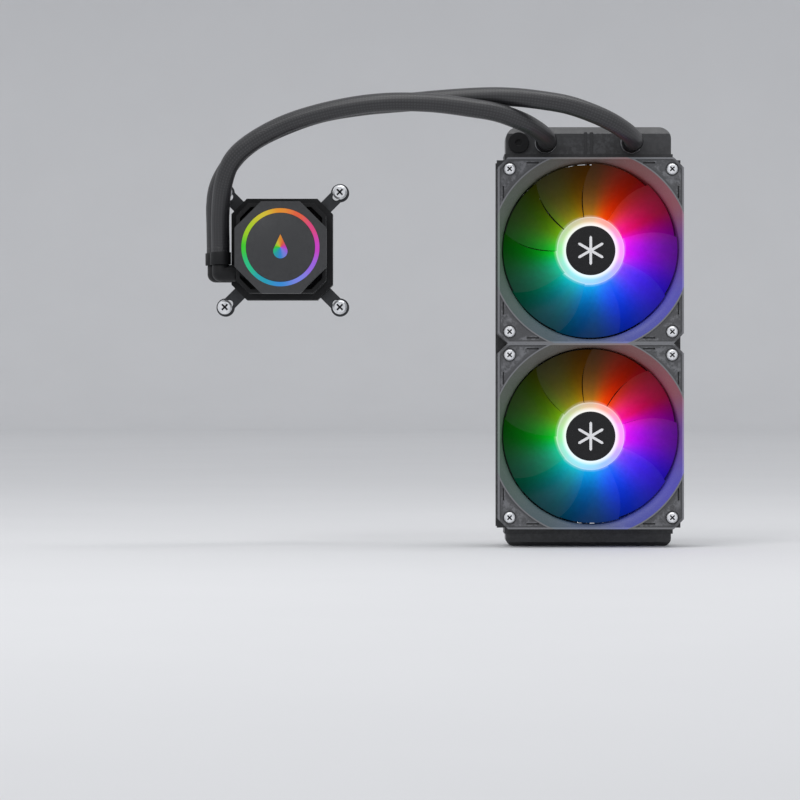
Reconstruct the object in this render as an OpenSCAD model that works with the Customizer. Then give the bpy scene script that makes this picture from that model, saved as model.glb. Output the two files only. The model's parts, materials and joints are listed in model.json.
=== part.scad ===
// Closed-loop liquid cooler: a two-fan radiator, its two hoses and its pump head.
//
// The modules draw in a board frame: x to the right, y up, z out of the board towards
// the fans' front. board() turns that frame so that y becomes +Z and z becomes -Y.
// The origin is the centre of the screw pattern on the radiator's back face.

/* [Fans] */
// Side of one square fan
fan_size = 120; // [110:1:144]
// Depth of a fan from its back to its front
fan_depth = 25; // [25:0.5:32]
// Distance of a screw hole from the fan's two edges
fan_hole_inset = 7.5; // [6.5:0.1:8.5]
// Radius of the screw holes in the fan's corners
fan_hole_r = 2.2; // [2:0.05:2.6]
// Wall between the fan's throat and its flat sides
fan_ring_wall = 2.7; // [2.2:0.1:3.5]
// Width of the flared lip in front of the throat
fan_flare_w = 7; // [5:0.5:8]
// Thickness of the fan's front and back flanges
fan_flange_t = 4; // [3:0.5:5]
// Number of blades on a rotor
blade_count = 9; // [7:1:11]
// Thickness of a blade at its middle
blade_t = 1.6; // [1.2:0.1:2.2]
// Gap between the blade tips and the throat
tip_gap = 1.1; // [0.8:0.1:2]
// Radius of the rotor's hub
hub_r = 21.8; // [20.8:0.1:26]
// Radius of the round cap on the hub
cap_r = 16; // [10:0.5:16.5]

/* [Radiator] */
// Thickness of the radiator from back to front
rad_t = 27; // [24:0.5:36]
// Width of the hollow channel along each side
channel_w = 12; // [11:0.5:14]
// Thickness of the folded sheet of the channels
sheet_t = 1; // [0.8:0.1:1.4]
// Radius of the tapped screw holes in the channels
tap_r = 1.75; // [1.6:0.05:2]
// Height of the upper tank above its header plate
upper_tank_h = 18; // [16:0.5:24]
// Height of the lower tank below its header plate
lower_tank_h = 8; // [7:0.5:16]
// Thickness of the tanks' walls
tank_wall = 1.5; // [1.2:0.1:2]
// Thickness of a flat tube
tube_t = 2; // [1.6:0.1:2.6]
// Wall of a flat tube
tube_wall = 0.4; // [0.3:0.05:0.5]
// Usual height of the fins between two tubes
fin_h_usual = 6; // [5:0.5:8]
// Distance from one fold of a fin strip to the next
fin_pitch = 4; // [3:0.1:6]
// Thickness of the fin strip
fin_t = 0.25; // [0.2:0.05:0.4]

/* [Hoses] */
// Diameter of a hose over its woven sleeve
hose_d = 12; // [10.5:0.1:13]
// Thickness of the woven sleeve
sleeve_t = 0.5; // [0.4:0.05:0.8]
// Bore of the rubber tube
hose_bore_d = 7.8; // [6.5:0.1:8]
// Sideways distance of each port from the middle of the tank
port_x = 28; // [20:0.5:32]
// Length of the collars on the radiator's ports
rad_collar_l = 12; // [8:0.5:13]
// Length of the collars on the pump's elbows
pump_collar_l = 8; // [6:0.5:10]

/* [Pump head] */
// Place of the pump's axis to the right of the radiator's centre
pump_x = -200; // [-260:1:-180]
// Place of the pump's axis above the radiator's centre
pump_y = 61.5; // [40:0.5:90]
// Height of the cold plate's face above the radiator's back
pump_z = 16; // [8:0.5:24]
// Width of the octagonal cover across its flats
cover_w = 59; // [58:0.5:66]
// Height of the pump head from the cold plate's face to the cover's front
pump_h = 46; // [44:0.5:56]
// Outer radius of the light ring in the cover
ring_r = 25.1; // [24:0.1:26]
// Width of the light ring
ring_w = 2.8; // [2:0.1:4]
// Side of the square pump base
base_w = 66; // [66:0.5:74]
// Side of the square pump housing
housing_w = 58; // [58:0.5:60]
// Distance between neighbouring bracket screws
bracket_pitch = 75; // [75:0.5:94]
// Width of a bracket arm
arm_w = 9; // [8:0.5:12]
// Thickness of the bracket
bracket_t = 2; // [1.5:0.1:2.5]

/* [Hidden] */
$fn = 48;

// Clearances: seats that only meet, running fits, and cuts that run past a face
seat = 0.05;
running = 0.04;
past = 0.5;

// Fan frame
fan_y = fan_size / 2;
fan_hole_x = fan_size / 2 - fan_hole_inset;
throat_r = fan_size / 2 - fan_ring_wall;
barrel_wall = 1.6;
flare_r = throat_r + fan_flare_w;
flare_depth = 5;
flat_lip = 1.2;
lip_r = flare_r + 1;
corner_cut = 6.5;
recess_border = 1.2;
recess_depth = 0.6;
slot_l = 8;
slot_w = 1;
slot_x = fan_hole_x - 15;
slot_edge = 4;
slot_depth = 2.4;
counterbore_r = 4.4;
counterbore_depth = 0.8;
post_r = 4.4;
strut_w = 4.5;
strut_t = 3;
strut_angle = 38;

// Fan motor and rotor, heights above the fan's back
motor_disc_r = hub_r;
motor_disc_t = 2.2;
board_t = 1.2;
led_t = 0.7;
led_w = 1.6;
led_n = 12;
hub_wall = 1.5;
hub_bottom = motor_disc_t + board_t + led_t + 0.5;
hub_top = fan_depth - 2.4;
hub_roof = 1.6;
cap_t = 1;
cap_sink = 0.8;
star_r = 9.5;
star_w = 1.3;
star_t = 0.3;
yoke_t = 0.8;
yoke_z = hub_bottom + 0.5;
yoke_h = hub_top - hub_roof - yoke_z;
magnet_t = 1.9;
magnet_h = 10;
air_gap = 0.5;
shaft_r = 1.5;
bearing_r = 4;
bearing_tube_r = 5.2;
bearing_top = hub_top - hub_roof - 6;
stator_z = hub_bottom + 2;
stator_h = 7;
stator_r = hub_r - hub_wall - yoke_t - magnet_t - air_gap;
stator_face_t = 2;
stator_core_r = bearing_tube_r + 2.2;
tooth_w = 3;
tooth_face = 20;
coil_t = 1.3;
coil_x = stator_core_r + 0.3;
coil_l = stator_r - stator_face_t - coil_x - 0.3;

// Fan blades
tip_r = throat_r - tip_gap;
blade_root_r = hub_r - hub_wall / 2;
blade_mid_z = (hub_bottom + hub_top) / 2 - 0.3;
blade_chord_root = 20;
blade_chord_tip = 44;
blade_lean_root = 42;
blade_lean_tip = 22;
blade_camber = 2;
blade_sweep = -12;
blade_steps_out = 6;
blade_steps_across = 6;

// Fan screws
fan_screw_r = tap_r - seat;
fan_screw_l = fan_depth + 5;
fan_screw_head_r = 3.6;
fan_screw_head_h = 2.2;

// Radiator core
rad_w = fan_size;
core_l = 2 * fan_size;
core_w = rad_w - 2 * channel_w;
tube_n = floor((core_w - fin_h_usual) / (tube_t + fin_h_usual));
fin_h = (core_w - tube_n * tube_t) / (tube_n + 1);
tube_pitch = tube_t + fin_h;
tube_depth = rad_t - 5;
tube_stick = 2.5;
fin_depth = rad_t - 4;
// The strip's thickness measured across the row of folds
fin_sheet = fin_t * sqrt(pow(fin_h, 2) + pow(fin_pitch, 2)) / fin_pitch;
channel_hole_y = [for (i = [-1, 1], j = [-1, 1]) i * fan_y + j * fan_hole_x];
collar_h = 1.6;
tap_wall = 1.2;

// Header plates and tanks
header_t = 1.5;
// The divider stands on the middle tube, or on the header plate where no tube lies under it
divider_foot = tube_n % 2 == 1 ? tube_stick : header_t;
header_h = 4;
header_w = rad_w - 10;
rim_t = 1;
tank_w = header_w - 2 * rim_t - 2 * seat;
tank_t = rad_t - 2 * rim_t - 2 * seat;
tank_foot = core_l / 2 + header_t;
tank_front = rad_t - rim_t - seat;
upper_tank_body = header_h - header_t + upper_tank_h;
lower_tank_body = header_h - header_t + lower_tank_h;
upper_tank_r = 8;
upper_slope = 4.5;
lower_tank_r = 5;
lower_slope = 2.5;
divider_t = 1.5;
seam_groove_w = 2.2;
seam_rib_w = 1.6;
seam_depth = 0.7;
port_y = core_l / 2 + header_h + upper_tank_h / 2 - 1.5;
port_flange_r = 7;
port_flange_t = 2;
port_hole_r = 5;
stub_bore_r = 2.6;
plug_x = port_x + 17.7;
plug_head_r = 6.8;
plug_head_t = 1.8;
plug_r = 4;
plug_key_r = 2.2;

// Hoses
sleeve_r = hose_d / 2;
tube_or = sleeve_r - sleeve_t - seat;
tube_ir = hose_bore_d / 2;
collar_wall = 0.8;
hose_start = tank_front + port_flange_t + 0.2;
hose_sides = 10;
hose_steps = 2;
// A direction that no stretch of the hoses runs along, which keeps the rings from twisting
hose_ref = [0.6, -0.6, 0.5];
barb_l = 9;
barb_step = 2.4;
barb_top_r = tube_ir * cos(180 / hose_sides) - seat;
barb_neck_r = barb_top_r - 0.4;

// Pump head, heights above the cold plate's face
boss_h = 1.2;
plate_top = 4;
plate_w = 56;
plate_cut = 4;
contact_w = 40;
plate_screw_x = plate_w / 2 - 4.5;
plate_screw_r = 1.3;
plate_screw_l = 8;
plate_head_r = 2.4;
plate_head_h = 1.4;
fin_area = 24;
micro_t = 0.5;
micro_pitch = 1.2;
micro_h = 2.4;
micro_n = floor(fin_area / micro_pitch);
base_top = 17;
base_cut = 10;
chamber_r = 23;
chamber_top = 7.5;
chamber_plate_t = 1;
eye_r = 5;
volute_r = 15.5;
volute_top = 14;
ring_seal_r = chamber_r + 2;
ring_seal_t = 1.2;
ring_seal_w = 1;
impeller_r = 13;
impeller_z = 10;
impeller_t = 1;
vane_h = 1;
vane_n = 6;
pump_shaft_r = 1.25;
can_r = 9.4;
can_wall = 0.8;
can_flange_t = 1.2;
can_flange_r = can_r + 3;
housing_top = pump_h - 12;
can_top = housing_top - 2;
can_roof = 1.6;
shaft_socket = 1;
shaft_z = chamber_top + chamber_plate_t + 0.5;
pump_magnet_r = can_r - can_wall - air_gap - 0.2;
pump_magnet_t = 1.8;
magnet_z = volute_top + 1.5;
rotor_top = can_top - can_roof - 1.4;
pump_stator_r = 19.5;
pump_stator_z = 18.5;
pump_stator_h = 8;
pump_yoke_t = 2.5;
pump_tooth_n = 6;
pump_tooth_w = 3;
pump_coil_t = 1.5;
housing_cut = 8;
housing_wall = 2.5;
cable_way_w = 8;
cable_way_h = 4;
cover_h = pump_h - housing_top;
cover_cut = 17;
cover_wall = 2.5;
cover_plate_t = 3;
pump_board_t = 1.2;
pump_led_n = 16;
pump_led_w = 2;
guide_z = housing_top + pump_board_t + led_t + 0.1;
guide_lip = 1.2;
ring_sink = 0.3;
disc_z = pump_h - cover_plate_t - 2;
emblem_r = 4.6;
emblem_tip = 11;
emblem_t = 0.3;

// Ports and swivel elbows on the pump's left side
swivel_y = -16;
front_swivel_z = 27;
rear_swivel_z = 11;
spigot_r = 4;
spigot_l = 6.5;
duct_r = 2.2;
inlet_x = 12;
riser_x = 23;
riser_y = -7;
riser_r = 3.2;
outlet_z = 11;
elbow_r = 5.4;
elbow_leg_l = 5.6;
elbow_gap = 0.5;
face_seal_t = 0.4;
front_face = housing_w / 2;
rear_face = base_w / 2;
front_reach = front_face + 10.5;
rear_reach = rear_face + 10.5;

// Bracket
bracket_z = plate_top - bracket_t;
bracket_w = base_w;
arm_reach = bracket_pitch / sqrt(2);
pad_r = arm_w / 2 + 1.5;
bracket_screw_r = 1.5;
bracket_shank_r = bracket_screw_r + 0.6;
bracket_shoulder = 0.6;
bracket_hole_r = bracket_shank_r + 0.3;
slot_reach = 3.5;
bracket_head_r = 4.7;
bracket_head_h = 3;
bracket_head_z = 12;
bracket_screw_stick = 5;
spring_wire_r = 0.5;
spring_r = 2.9;
spring_turns = 4;
spring_sides = 6;
spring_steps = 12;

// The hoses' routes in the board frame, from the radiator's port to the pump's elbow
front_route = [
    [-30.5, 133.5, 57], [-38, 137.5, 70], [-46.5, 141, 79.5], [-61, 145.5, 86.5], [-76, 148, 89.5],
    [-104, 151.5, 90], [-133.5, 152, 87.5], [-162.5, 148.5, 82.5], [-192, 141, 76], [-214.5, 130.5, 71],
    [-229.5, 118.5, 66.5], [-236.5, 103.5, 59.5], [-239.3, 84, 48.5]
];
rear_route = [
    [26.5, 132.5, 55.5], [20.5, 136, 67], [11, 141, 75], [-1, 146, 79.5], [-16.5, 151, 81.5],
    [-33.5, 154, 81.5], [-51, 156, 80.5], [-68.5, 156.5, 79], [-91.5, 155.5, 76.5], [-117, 153.5, 74],
    [-148, 151, 70.5], [-177.5, 146, 65.5], [-207.5, 135, 58.5], [-224.5, 124.5, 53.5],
    [-235, 112.5, 48.5], [-241, 101.5, 43], [-243.3, 90, 36.5], [-243.5, 77, 30.5]
];

function port_at(side) = [side * port_x, port_y, hose_start];
function elbow_at(reach, z) = [pump_x - reach, pump_y + swivel_y, pump_z + z];

// A whole route: straight off the port, through its own points and straight onto the elbow
function whole_route(side, middle, reach, z) = concat(
    [for (d = [0, rad_collar_l / 2, rad_collar_l + 0.5, rad_collar_l + 3]) port_at(side) + [0, 0, d]],
    middle,
    [
        for (d = [barb_l + 3.5, barb_l + 1, barb_l / 2, 0])
            elbow_at(reach, z) + [0, elbow_leg_l + seat + d, 0]
    ]
);

front_line = smooth_route(whole_route(-1, front_route, front_reach, front_swivel_z), hose_steps);
rear_line = smooth_route(whole_route(1, rear_route, rear_reach, rear_swivel_z), hose_steps);

// A point of the smooth curve through four points, at u from 0 to 1 between the middle two
function smooth_point(a, b, c, d, u) =
    0.5 * (2 * b + (c - a) * u + (2 * a - 5 * b + 4 * c - d) * u * u
        + (3 * b - a - 3 * c + d) * u * u * u);

function smooth_route(p, steps) = [
    for (i = [0 : len(p) - 2], k = [0 : steps - 1])
        smooth_point(p[max(i - 1, 0)], p[i], p[i + 1], p[min(i + 2, len(p) - 1)], k / steps),
    p[len(p) - 1]
];

function unit(v) = v / norm(v);
function heading(p, i) = unit(p[min(i + 1, len(p) - 1)] - p[max(i - 1, 0)]);

// The ring of points round p[i], across the route
function ring_points(p, i, r, sides, ref) =
    let (t = heading(p, i), n = unit(cross(t, ref)), b = cross(t, n))
    [for (k = [0 : sides - 1]) p[i] + r * (cos(360 * k / sides) * n + sin(360 * k / sides) * b)];

// The two triangles of the patch between points a, b of one ring and c, d of the next
function patch(a, b, c, d) = [[a, b, c], [a, c, d]];
function flipped(faces) = [for (f = faces) [f[2], f[1], f[0]]];

// The skin of a row of n rings, whose points start at index first
function skin(first, n, sides) = [
    for (i = [0 : n - 2], k = [0 : sides - 1])
        let (a = first + i * sides + k, b = first + i * sides + (k + 1) % sides)
        each patch(a, b, b + sides, a + sides)
];

// The flat end between ring i of the outside and ring i of the inside
function end_face(i, n, sides) = [
    for (k = [0 : sides - 1])
        let (a = i * sides + k, b = i * sides + (k + 1) % sides)
        each patch(a, b, n * sides + b, n * sides + a)
];

// The flat end over the whole of ring i
function end_disc(i, sides) = [for (k = [1 : sides - 2]) [i * sides, i * sides + k, i * sides + k + 1]];

// A hollow hose along a route
module swept_hose(p, outer, inner) {
    n = len(p);
    points = concat(
        [for (i = [0 : n - 1]) each ring_points(p, i, outer, hose_sides, hose_ref)],
        [for (i = [0 : n - 1]) each ring_points(p, i, inner, hose_sides, hose_ref)]
    );
    faces = concat(
        skin(0, n, hose_sides),
        flipped(skin(n * hose_sides, n, hose_sides)),
        flipped(end_face(0, n, hose_sides)),
        end_face(n - 1, n, hose_sides)
    );
    polyhedron(points, faces);
}

// A solid wire along a route that never runs along z
module swept_wire(p, r, sides) {
    n = len(p);
    points = [for (i = [0 : n - 1]) each ring_points(p, i, r, sides, [0, 0, 1])];
    polyhedron(points, concat(skin(0, n, sides), flipped(end_disc(0, sides)), end_disc(n - 1, sides)));
}

// Turns the board frame so that y points up and z points forwards
module board() rotate([90, 0, 0]) children();
module on_fan(side) board() translate([0, side * fan_y, rad_t]) children();
module on_pump() board() translate([pump_x, pump_y, pump_z]) children();
module at_corners(x, y) for (i = [-1, 1], j = [-1, 1]) translate([i * x, j * y, 0]) children();
module around(n) for (i = [0 : n - 1]) rotate(360 * i / n) children();

module tube(outer, inner, h) difference() {
    cylinder(r = outer, h = h);
    translate([0, 0, -past]) cylinder(r = inner, h = h + 2 * past);
}

module cut_square(w, h, cut) polygon([
    [w / 2 - cut, -h / 2], [w / 2, -h / 2 + cut], [w / 2, h / 2 - cut], [w / 2 - cut, h / 2],
    [-w / 2 + cut, h / 2], [-w / 2, h / 2 - cut], [-w / 2, -h / 2 + cut], [-w / 2 + cut, -h / 2]
]);

// A pan-head screw that points down from z = 0, with a cross recess
module screw(shank, length, head, head_h) difference() {
    union() {
        translate([0, 0, -length]) cylinder(r = shank, h = length);
        cylinder(r = head, h = head_h * 0.6);
        translate([0, 0, head_h * 0.6]) cylinder(r1 = head, r2 = head * 0.75, h = head_h * 0.4);
    }
    for (a = [45, 135])
        rotate(a) translate([-head * 0.55, -head * 0.12, head_h * 0.45])
            cube([head * 1.1, head * 0.24, head_h]);
}

// ---- Fans ----

// The trumpet mouth in front of the throat, as a solid to cut away
module flare_cutter() {
    z0 = fan_depth - flare_depth;
    bend = [for (a = [0 : 18 : 90]) [throat_r + fan_flare_w * (1 - cos(a)), z0 + flare_depth * sin(a)]];
    rotate_extrude() polygon(concat(
        [[throat_r - 1, z0]], bend, [[flare_r, fan_depth + past], [throat_r - 1, fan_depth + past]]
    ));
}

module fan_frame() color("#25262a") {
    difference() {
        union() {
            linear_extrude(fan_flange_t) cut_square(fan_size, fan_size, corner_cut);
            translate([0, 0, fan_depth - fan_flange_t])
                linear_extrude(fan_flange_t) cut_square(fan_size, fan_size, corner_cut);
            cylinder(r = throat_r + barrel_wall, h = fan_depth);
            at_corners(fan_hole_x, fan_hole_x) cylinder(r = post_r, h = fan_depth);
        }
        translate([0, 0, -past]) cylinder(r = throat_r, h = fan_depth + 2 * past);
        intersection() {
            flare_cutter();
            translate([0, 0, fan_depth / 2]) linear_extrude(fan_depth)
                square(fan_size - 2 * flat_lip, center = true);
        }
        // Sunken corner tabs inside a raised border
        translate([0, 0, fan_depth - recess_depth]) linear_extrude(recess_depth + past) difference() {
            cut_square(fan_size - 2 * recess_border, fan_size - 2 * recess_border, corner_cut);
            circle(r = lip_r);
        }
        // Slots beside the flats
        around(4) for (i = [-1, 1])
            translate([i * slot_x - slot_l / 2, fan_size / 2 - slot_edge, fan_depth - slot_depth])
                cube([slot_l, slot_w, slot_depth + past]);
        at_corners(fan_hole_x, fan_hole_x) {
            translate([0, 0, -past]) cylinder(r = fan_hole_r, h = fan_depth + 2 * past);
            translate([0, 0, fan_depth - counterbore_depth - recess_depth])
                cylinder(r = counterbore_r, h = fan_depth);
        }
    }
    cylinder(r = motor_disc_r, h = motor_disc_t);
    around(4) rotate(strut_angle) translate([motor_disc_r - 1, -strut_w / 2, 0])
        cube([throat_r - motor_disc_r + 1.5, strut_w, strut_t]);
    translate([0, 0, motor_disc_t]) tube(bearing_tube_r, bearing_r, bearing_top - motor_disc_t);
}

module fan_bearing() color("#b98b3e") translate([0, 0, motor_disc_t])
    tube(bearing_r, shaft_r + running, bearing_top - motor_disc_t);

// Four poles round the bearing tube
module fan_stator() color("#6f747c") translate([0, 0, stator_z]) {
    tube(stator_core_r, bearing_tube_r, stator_h);
    around(4) translate([stator_core_r - 1, -tooth_w / 2, 0])
        cube([stator_r - stator_face_t - stator_core_r + 1.5, tooth_w, stator_h]);
    intersection() {
        tube(stator_r, stator_r - stator_face_t, stator_h);
        around(4) translate([0, -tooth_face / 2, 0]) cube([stator_r + 1, tooth_face, stator_h]);
    }
}

module fan_coils() color("#c46b2c") translate([0, 0, stator_z - coil_t])
    around(4) translate([coil_x, 0, 0]) difference() {
        translate([0, -tooth_w / 2 - coil_t, 0]) cube([coil_l, tooth_w + 2 * coil_t, stator_h + 2 * coil_t]);
        translate([-past, -tooth_w / 2, coil_t]) cube([coil_l + 2 * past, tooth_w, stator_h]);
    }

// Ring board with lights along its rim
module fan_board() color("#e8e6dc") translate([0, 0, motor_disc_t]) {
    tube(motor_disc_r - 1.5, bearing_tube_r + seat, board_t);
    around(led_n) translate([motor_disc_r - 3.6, -led_w / 2, board_t]) cube([led_w, led_w, led_t]);
}

// One blade leans by an angle that falls off towards the tip
function blade_lean(u) = blade_lean_root + (blade_lean_tip - blade_lean_root) * u;
function blade_centre(u) = blade_sweep * u * u;
function blade_point(u, v, side) =
    let (
        r = blade_root_r + (tip_r - blade_root_r) * u,
        chord = blade_chord_root + (blade_chord_tip - blade_chord_root) * u,
        s = chord * (v - 0.5),
        camber = blade_camber * (1 - 4 * (v - 0.5) * (v - 0.5)),
        half = side * blade_t / 2 * (0.3 + 0.7 * sin(180 * v)),
        lean = blade_lean(u),
        along = s * cos(lean) - (camber + half) * sin(lean),
        up = s * sin(lean) + (camber + half) * cos(lean),
        a = blade_centre(u) + along / r * 180 / PI
    )
    [r * cos(a), r * sin(a), blade_mid_z + up];

module fan_blade() {
    m = blade_steps_out + 1;
    n = blade_steps_across + 1;
    points = [
        for (side = [1, -1], i = [0 : m - 1], j = [0 : n - 1])
            blade_point(i / (m - 1), j / (n - 1), side)
    ];
    top = [
        for (i = [0 : m - 2], j = [0 : n - 2])
            each patch(i * n + j, (i + 1) * n + j, (i + 1) * n + j + 1, i * n + j + 1)
    ];
    bottom = flipped([for (f = top) [for (k = f) k + m * n]]);
    root = [for (j = [0 : n - 2]) each patch(j, j + 1, m * n + j + 1, m * n + j)];
    tip = [for (j = [0 : n - 2]) let (k = (m - 1) * n + j) each patch(k, k + 1, m * n + k + 1, m * n + k)];
    front = [for (i = [0 : m - 2]) let (k = i * n) each patch(k, k + n, m * n + k + n, m * n + k)];
    back = [for (i = [0 : m - 2]) let (k = i * n + n - 1) each patch(k, k + n, m * n + k + n, m * n + k)];
    polyhedron(points, concat(flipped(top), flipped(bottom), flipped(root), tip, front, flipped(back)));
}

module fan_impeller() color("#d7dbe4") {
    around(blade_count) fan_blade();
    difference() {
        translate([0, 0, hub_bottom]) cylinder(r = hub_r, h = hub_top - hub_bottom);
        translate([0, 0, hub_bottom - past])
            cylinder(r = hub_r - hub_wall, h = hub_top - hub_roof - hub_bottom + past);
        translate([0, 0, hub_top - cap_sink]) cylinder(r = cap_r + seat, h = cap_sink + past);
        translate([0, 0, hub_bottom - past]) cylinder(r = shaft_r, h = fan_depth);
    }
}

module fan_yoke() color("#8b8f96") translate([0, 0, yoke_z]) difference() {
    cylinder(r = hub_r - hub_wall, h = yoke_h);
    translate([0, 0, -past]) cylinder(r = hub_r - hub_wall - yoke_t, h = yoke_h - yoke_t + past);
    cylinder(r = shaft_r, h = fan_depth);
}

module fan_magnet() color("#3a3d42") translate([0, 0, yoke_z])
    tube(hub_r - hub_wall - yoke_t, hub_r - hub_wall - yoke_t - magnet_t, magnet_h);

module fan_shaft() color("#c9ccd1") translate([0, 0, motor_disc_t + 0.4])
    cylinder(r = shaft_r, h = hub_top - cap_sink - motor_disc_t - 0.4);

// Round cap with a raised six-armed star
module fan_cap() color("#101114") translate([0, 0, hub_top - cap_sink]) {
    cylinder(r = cap_r, h = cap_t);
    translate([0, 0, cap_t]) star(star_r, star_w, star_t);
}

module star(r, w, h) around(6) {
    translate([0, -w / 2, 0]) cube([r, w, h]);
    for (a = [-60, 60])
        translate([r * 0.55, 0, 0]) rotate(a) translate([0, -w / 2, 0]) cube([r * 0.32, w, h]);
}

// ---- Radiator ----

// Flat tube outline with eased corners
module flat_tube_outline(w, d) cut_square(w, d, w / 3);

module flat_tubes() color("#44474c") board() for (i = [0 : tube_n - 1])
    translate([-core_w / 2 + fin_h + tube_t / 2 + i * tube_pitch, 0, rad_t / 2]) rotate([90, 0, 0])
        linear_extrude(core_l + 2 * tube_stick, center = true) difference() {
            flat_tube_outline(tube_t, tube_depth);
            square([tube_t - 2 * tube_wall, tube_depth - 4 * tube_wall], center = true);
        }

// One corrugated strip: a zigzag line and the same line moved by the strip's thickness
module fin_zigzag() {
    folds = floor(core_l / fin_pitch) - 1;
    low = -folds * fin_pitch / 2;
    line = [for (i = [0 : folds]) [i % 2 == 0 ? 0 : fin_h - fin_sheet, low + i * fin_pitch]];
    polygon(concat(line, [for (i = [0 : folds]) line[folds - i] + [fin_sheet, 0]]));
}

module fin_strips() color("#5a5d62") board() for (i = [0 : tube_n])
    translate([-core_w / 2 + i * tube_pitch, 0, rad_t / 2])
        linear_extrude(fin_depth, center = true) fin_zigzag();

// Header plate with a rim that holds a tank; side is 1 at the top and -1 at the bottom
module header_plate(side) board() scale_y(side) difference() {
    translate([-header_w / 2, core_l / 2, 0]) cube([header_w, header_h, rad_t]);
    translate([-header_w / 2 + rim_t, core_l / 2 + header_t, rim_t])
        cube([header_w - 2 * rim_t, header_h, rad_t - 2 * rim_t]);
    for (i = [0 : tube_n - 1])
        translate([-core_w / 2 + fin_h + tube_t / 2 + i * tube_pitch, core_l / 2, rad_t / 2])
            rotate([90, 0, 0]) linear_extrude(4 * header_t, center = true)
                flat_tube_outline(tube_t, tube_depth);
}

module scale_y(side) if (side > 0) children(); else mirror([0, 1, 0]) children();

// Tank block with rounded end corners and sloping shoulders, from its foot up to height h
module tank_block(w, h, t, r, slope) intersection() {
    translate([0, 0, -t / 2]) linear_extrude(t) union() {
        translate([-w / 2, 0]) square([w, h - r]);
        translate([-w / 2 + r, 0]) square([w - 2 * r, h]);
        for (i = [-1, 1]) translate([i * (w / 2 - r), h - r]) circle(r = r);
    }
    rotate([90, 0, 90]) linear_extrude(w, center = true) polygon([
        [0, -t / 2], [h - slope, -t / 2], [h, -t / 2 + slope * 0.7],
        [h, t / 2 - slope * 0.7], [h - slope, t / 2], [0, t / 2]
    ]);
}

module tank_hollow(h, r, slope)
    tank_block(tank_w - 2 * tank_wall, h - tank_wall, tank_t - 2 * tank_wall, r - tank_wall, slope);

module hollow_tank(h, r, slope) difference() {
    tank_block(tank_w, h, tank_t, r, slope);
    tank_hollow(h, r, slope);
    translate([0, -past, 0])
        cube([tank_w - 2 * tank_wall, 3 * past, tank_t - 2 * tank_wall], center = true);
}

module upper_tank() color("#2e3035") board() difference() {
    translate([0, tank_foot, rad_t / 2]) hollow_tank(upper_tank_body, upper_tank_r, upper_slope);
    // Seam between the two chambers: two grooves with a rib between them
    for (i = [-1, 1])
        translate([
            i * (seam_rib_w + seam_groove_w) / 2 - seam_groove_w / 2,
            core_l / 2 + header_h,
            tank_front - seam_depth
        ])
            cube([seam_groove_w, upper_tank_h, seam_depth + past]);
    for (i = [-1, 1]) translate([i * port_x, port_y, rad_t / 2]) cylinder(r = port_hole_r, h = rad_t);
    translate([-plug_x, port_y, rad_t / 2]) cylinder(r = plug_r, h = rad_t);
    // Seat of the plug's seal, under the wall
    translate([-plug_x, port_y, rad_t / 2])
        cylinder(r = plug_r + ring_seal_w, h = tank_front - tank_wall - rad_t / 2);
}

module lower_tank() color("#2e3035") board() mirror([0, 1, 0])
    translate([0, tank_foot, rad_t / 2]) hollow_tank(lower_tank_body, lower_tank_r, lower_slope);

module tank_divider() color("#3a3c40") board() intersection() {
    translate([0, tank_foot, rad_t / 2]) tank_hollow(upper_tank_body, upper_tank_r, upper_slope);
    translate([-divider_t / 2, core_l / 2 + divider_foot, 0]) cube([divider_t, upper_tank_body, rad_t]);
}

// Channel along one side: a folded sheet with flanges to the front and the back
module side_channel(side) color("#2b2d31") board() mirror([side > 0 ? 0 : 1, 0, 0]) difference() {
    union() {
        translate([core_w / 2, -core_l / 2, 0]) cube([sheet_t, core_l, rad_t]);
        for (z = [0, rad_t - sheet_t])
            translate([core_w / 2, -core_l / 2, z]) cube([channel_w, core_l, sheet_t]);
        for (y = channel_hole_y, z = [0, rad_t - collar_h - sheet_t])
            translate([fan_hole_x, y, z]) cylinder(r = tap_r + tap_wall, h = collar_h + sheet_t);
    }
    for (y = channel_hole_y) translate([fan_hole_x, y, -past]) cylinder(r = tap_r, h = rad_t + 2 * past);
}

// Barbed tubes on the tank's front
module port_stubs() color("#9a9da2") board() for (i = [-1, 1])
    translate([i * port_x, port_y, tank_front]) difference() {
        union() {
            translate([0, 0, -tank_wall]) cylinder(r = port_hole_r, h = tank_wall);
            cylinder(r = port_flange_r, h = port_flange_t);
            barbed_end(hose_start - tank_front);
        }
        translate([0, 0, -tank_wall - past]) cylinder(r = stub_bore_r, h = rad_t);
    }

// Barbed tube that starts at z = 0, whose hose starts at height start
module barbed_end(start) rotate_extrude() polygon(concat(
    [[0, 0], [barb_neck_r, 0]],
    [
        for (i = [0 : 2], p = [[barb_neck_r, 0], [barb_top_r, 0], [barb_neck_r, barb_step - 0.4]])
            [p[0], start + 1.2 + i * barb_step + p[1]]
    ],
    [[barb_neck_r, start + barb_l], [0, start + barb_l]]
));

module fill_plug() color("#17181b") board() translate([-plug_x, port_y, tank_front]) difference() {
    union() {
        translate([0, 0, -tank_wall - 2]) cylinder(r = plug_r, h = tank_wall + 2.5);
        cylinder(r = plug_head_r, h = plug_head_t);
    }
    translate([0, 0, plug_head_t / 2]) cylinder(r = plug_key_r, h = plug_head_t, $fn = 6);
}

module fan_screws() color("#c7cacf") for (side = [-1, 1])
    on_fan(side) at_corners(fan_hole_x, fan_hole_x)
        translate([0, 0, fan_depth - counterbore_depth - recess_depth])
            screw(fan_screw_r, fan_screw_l, fan_screw_head_r, fan_screw_head_h);

// ---- Hoses ----

module hose_collar(length) difference() {
    cylinder(r = sleeve_r + collar_wall, h = length);
    translate([0, 0, -past]) cylinder(r = sleeve_r, h = length + 2 * past);
}

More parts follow.
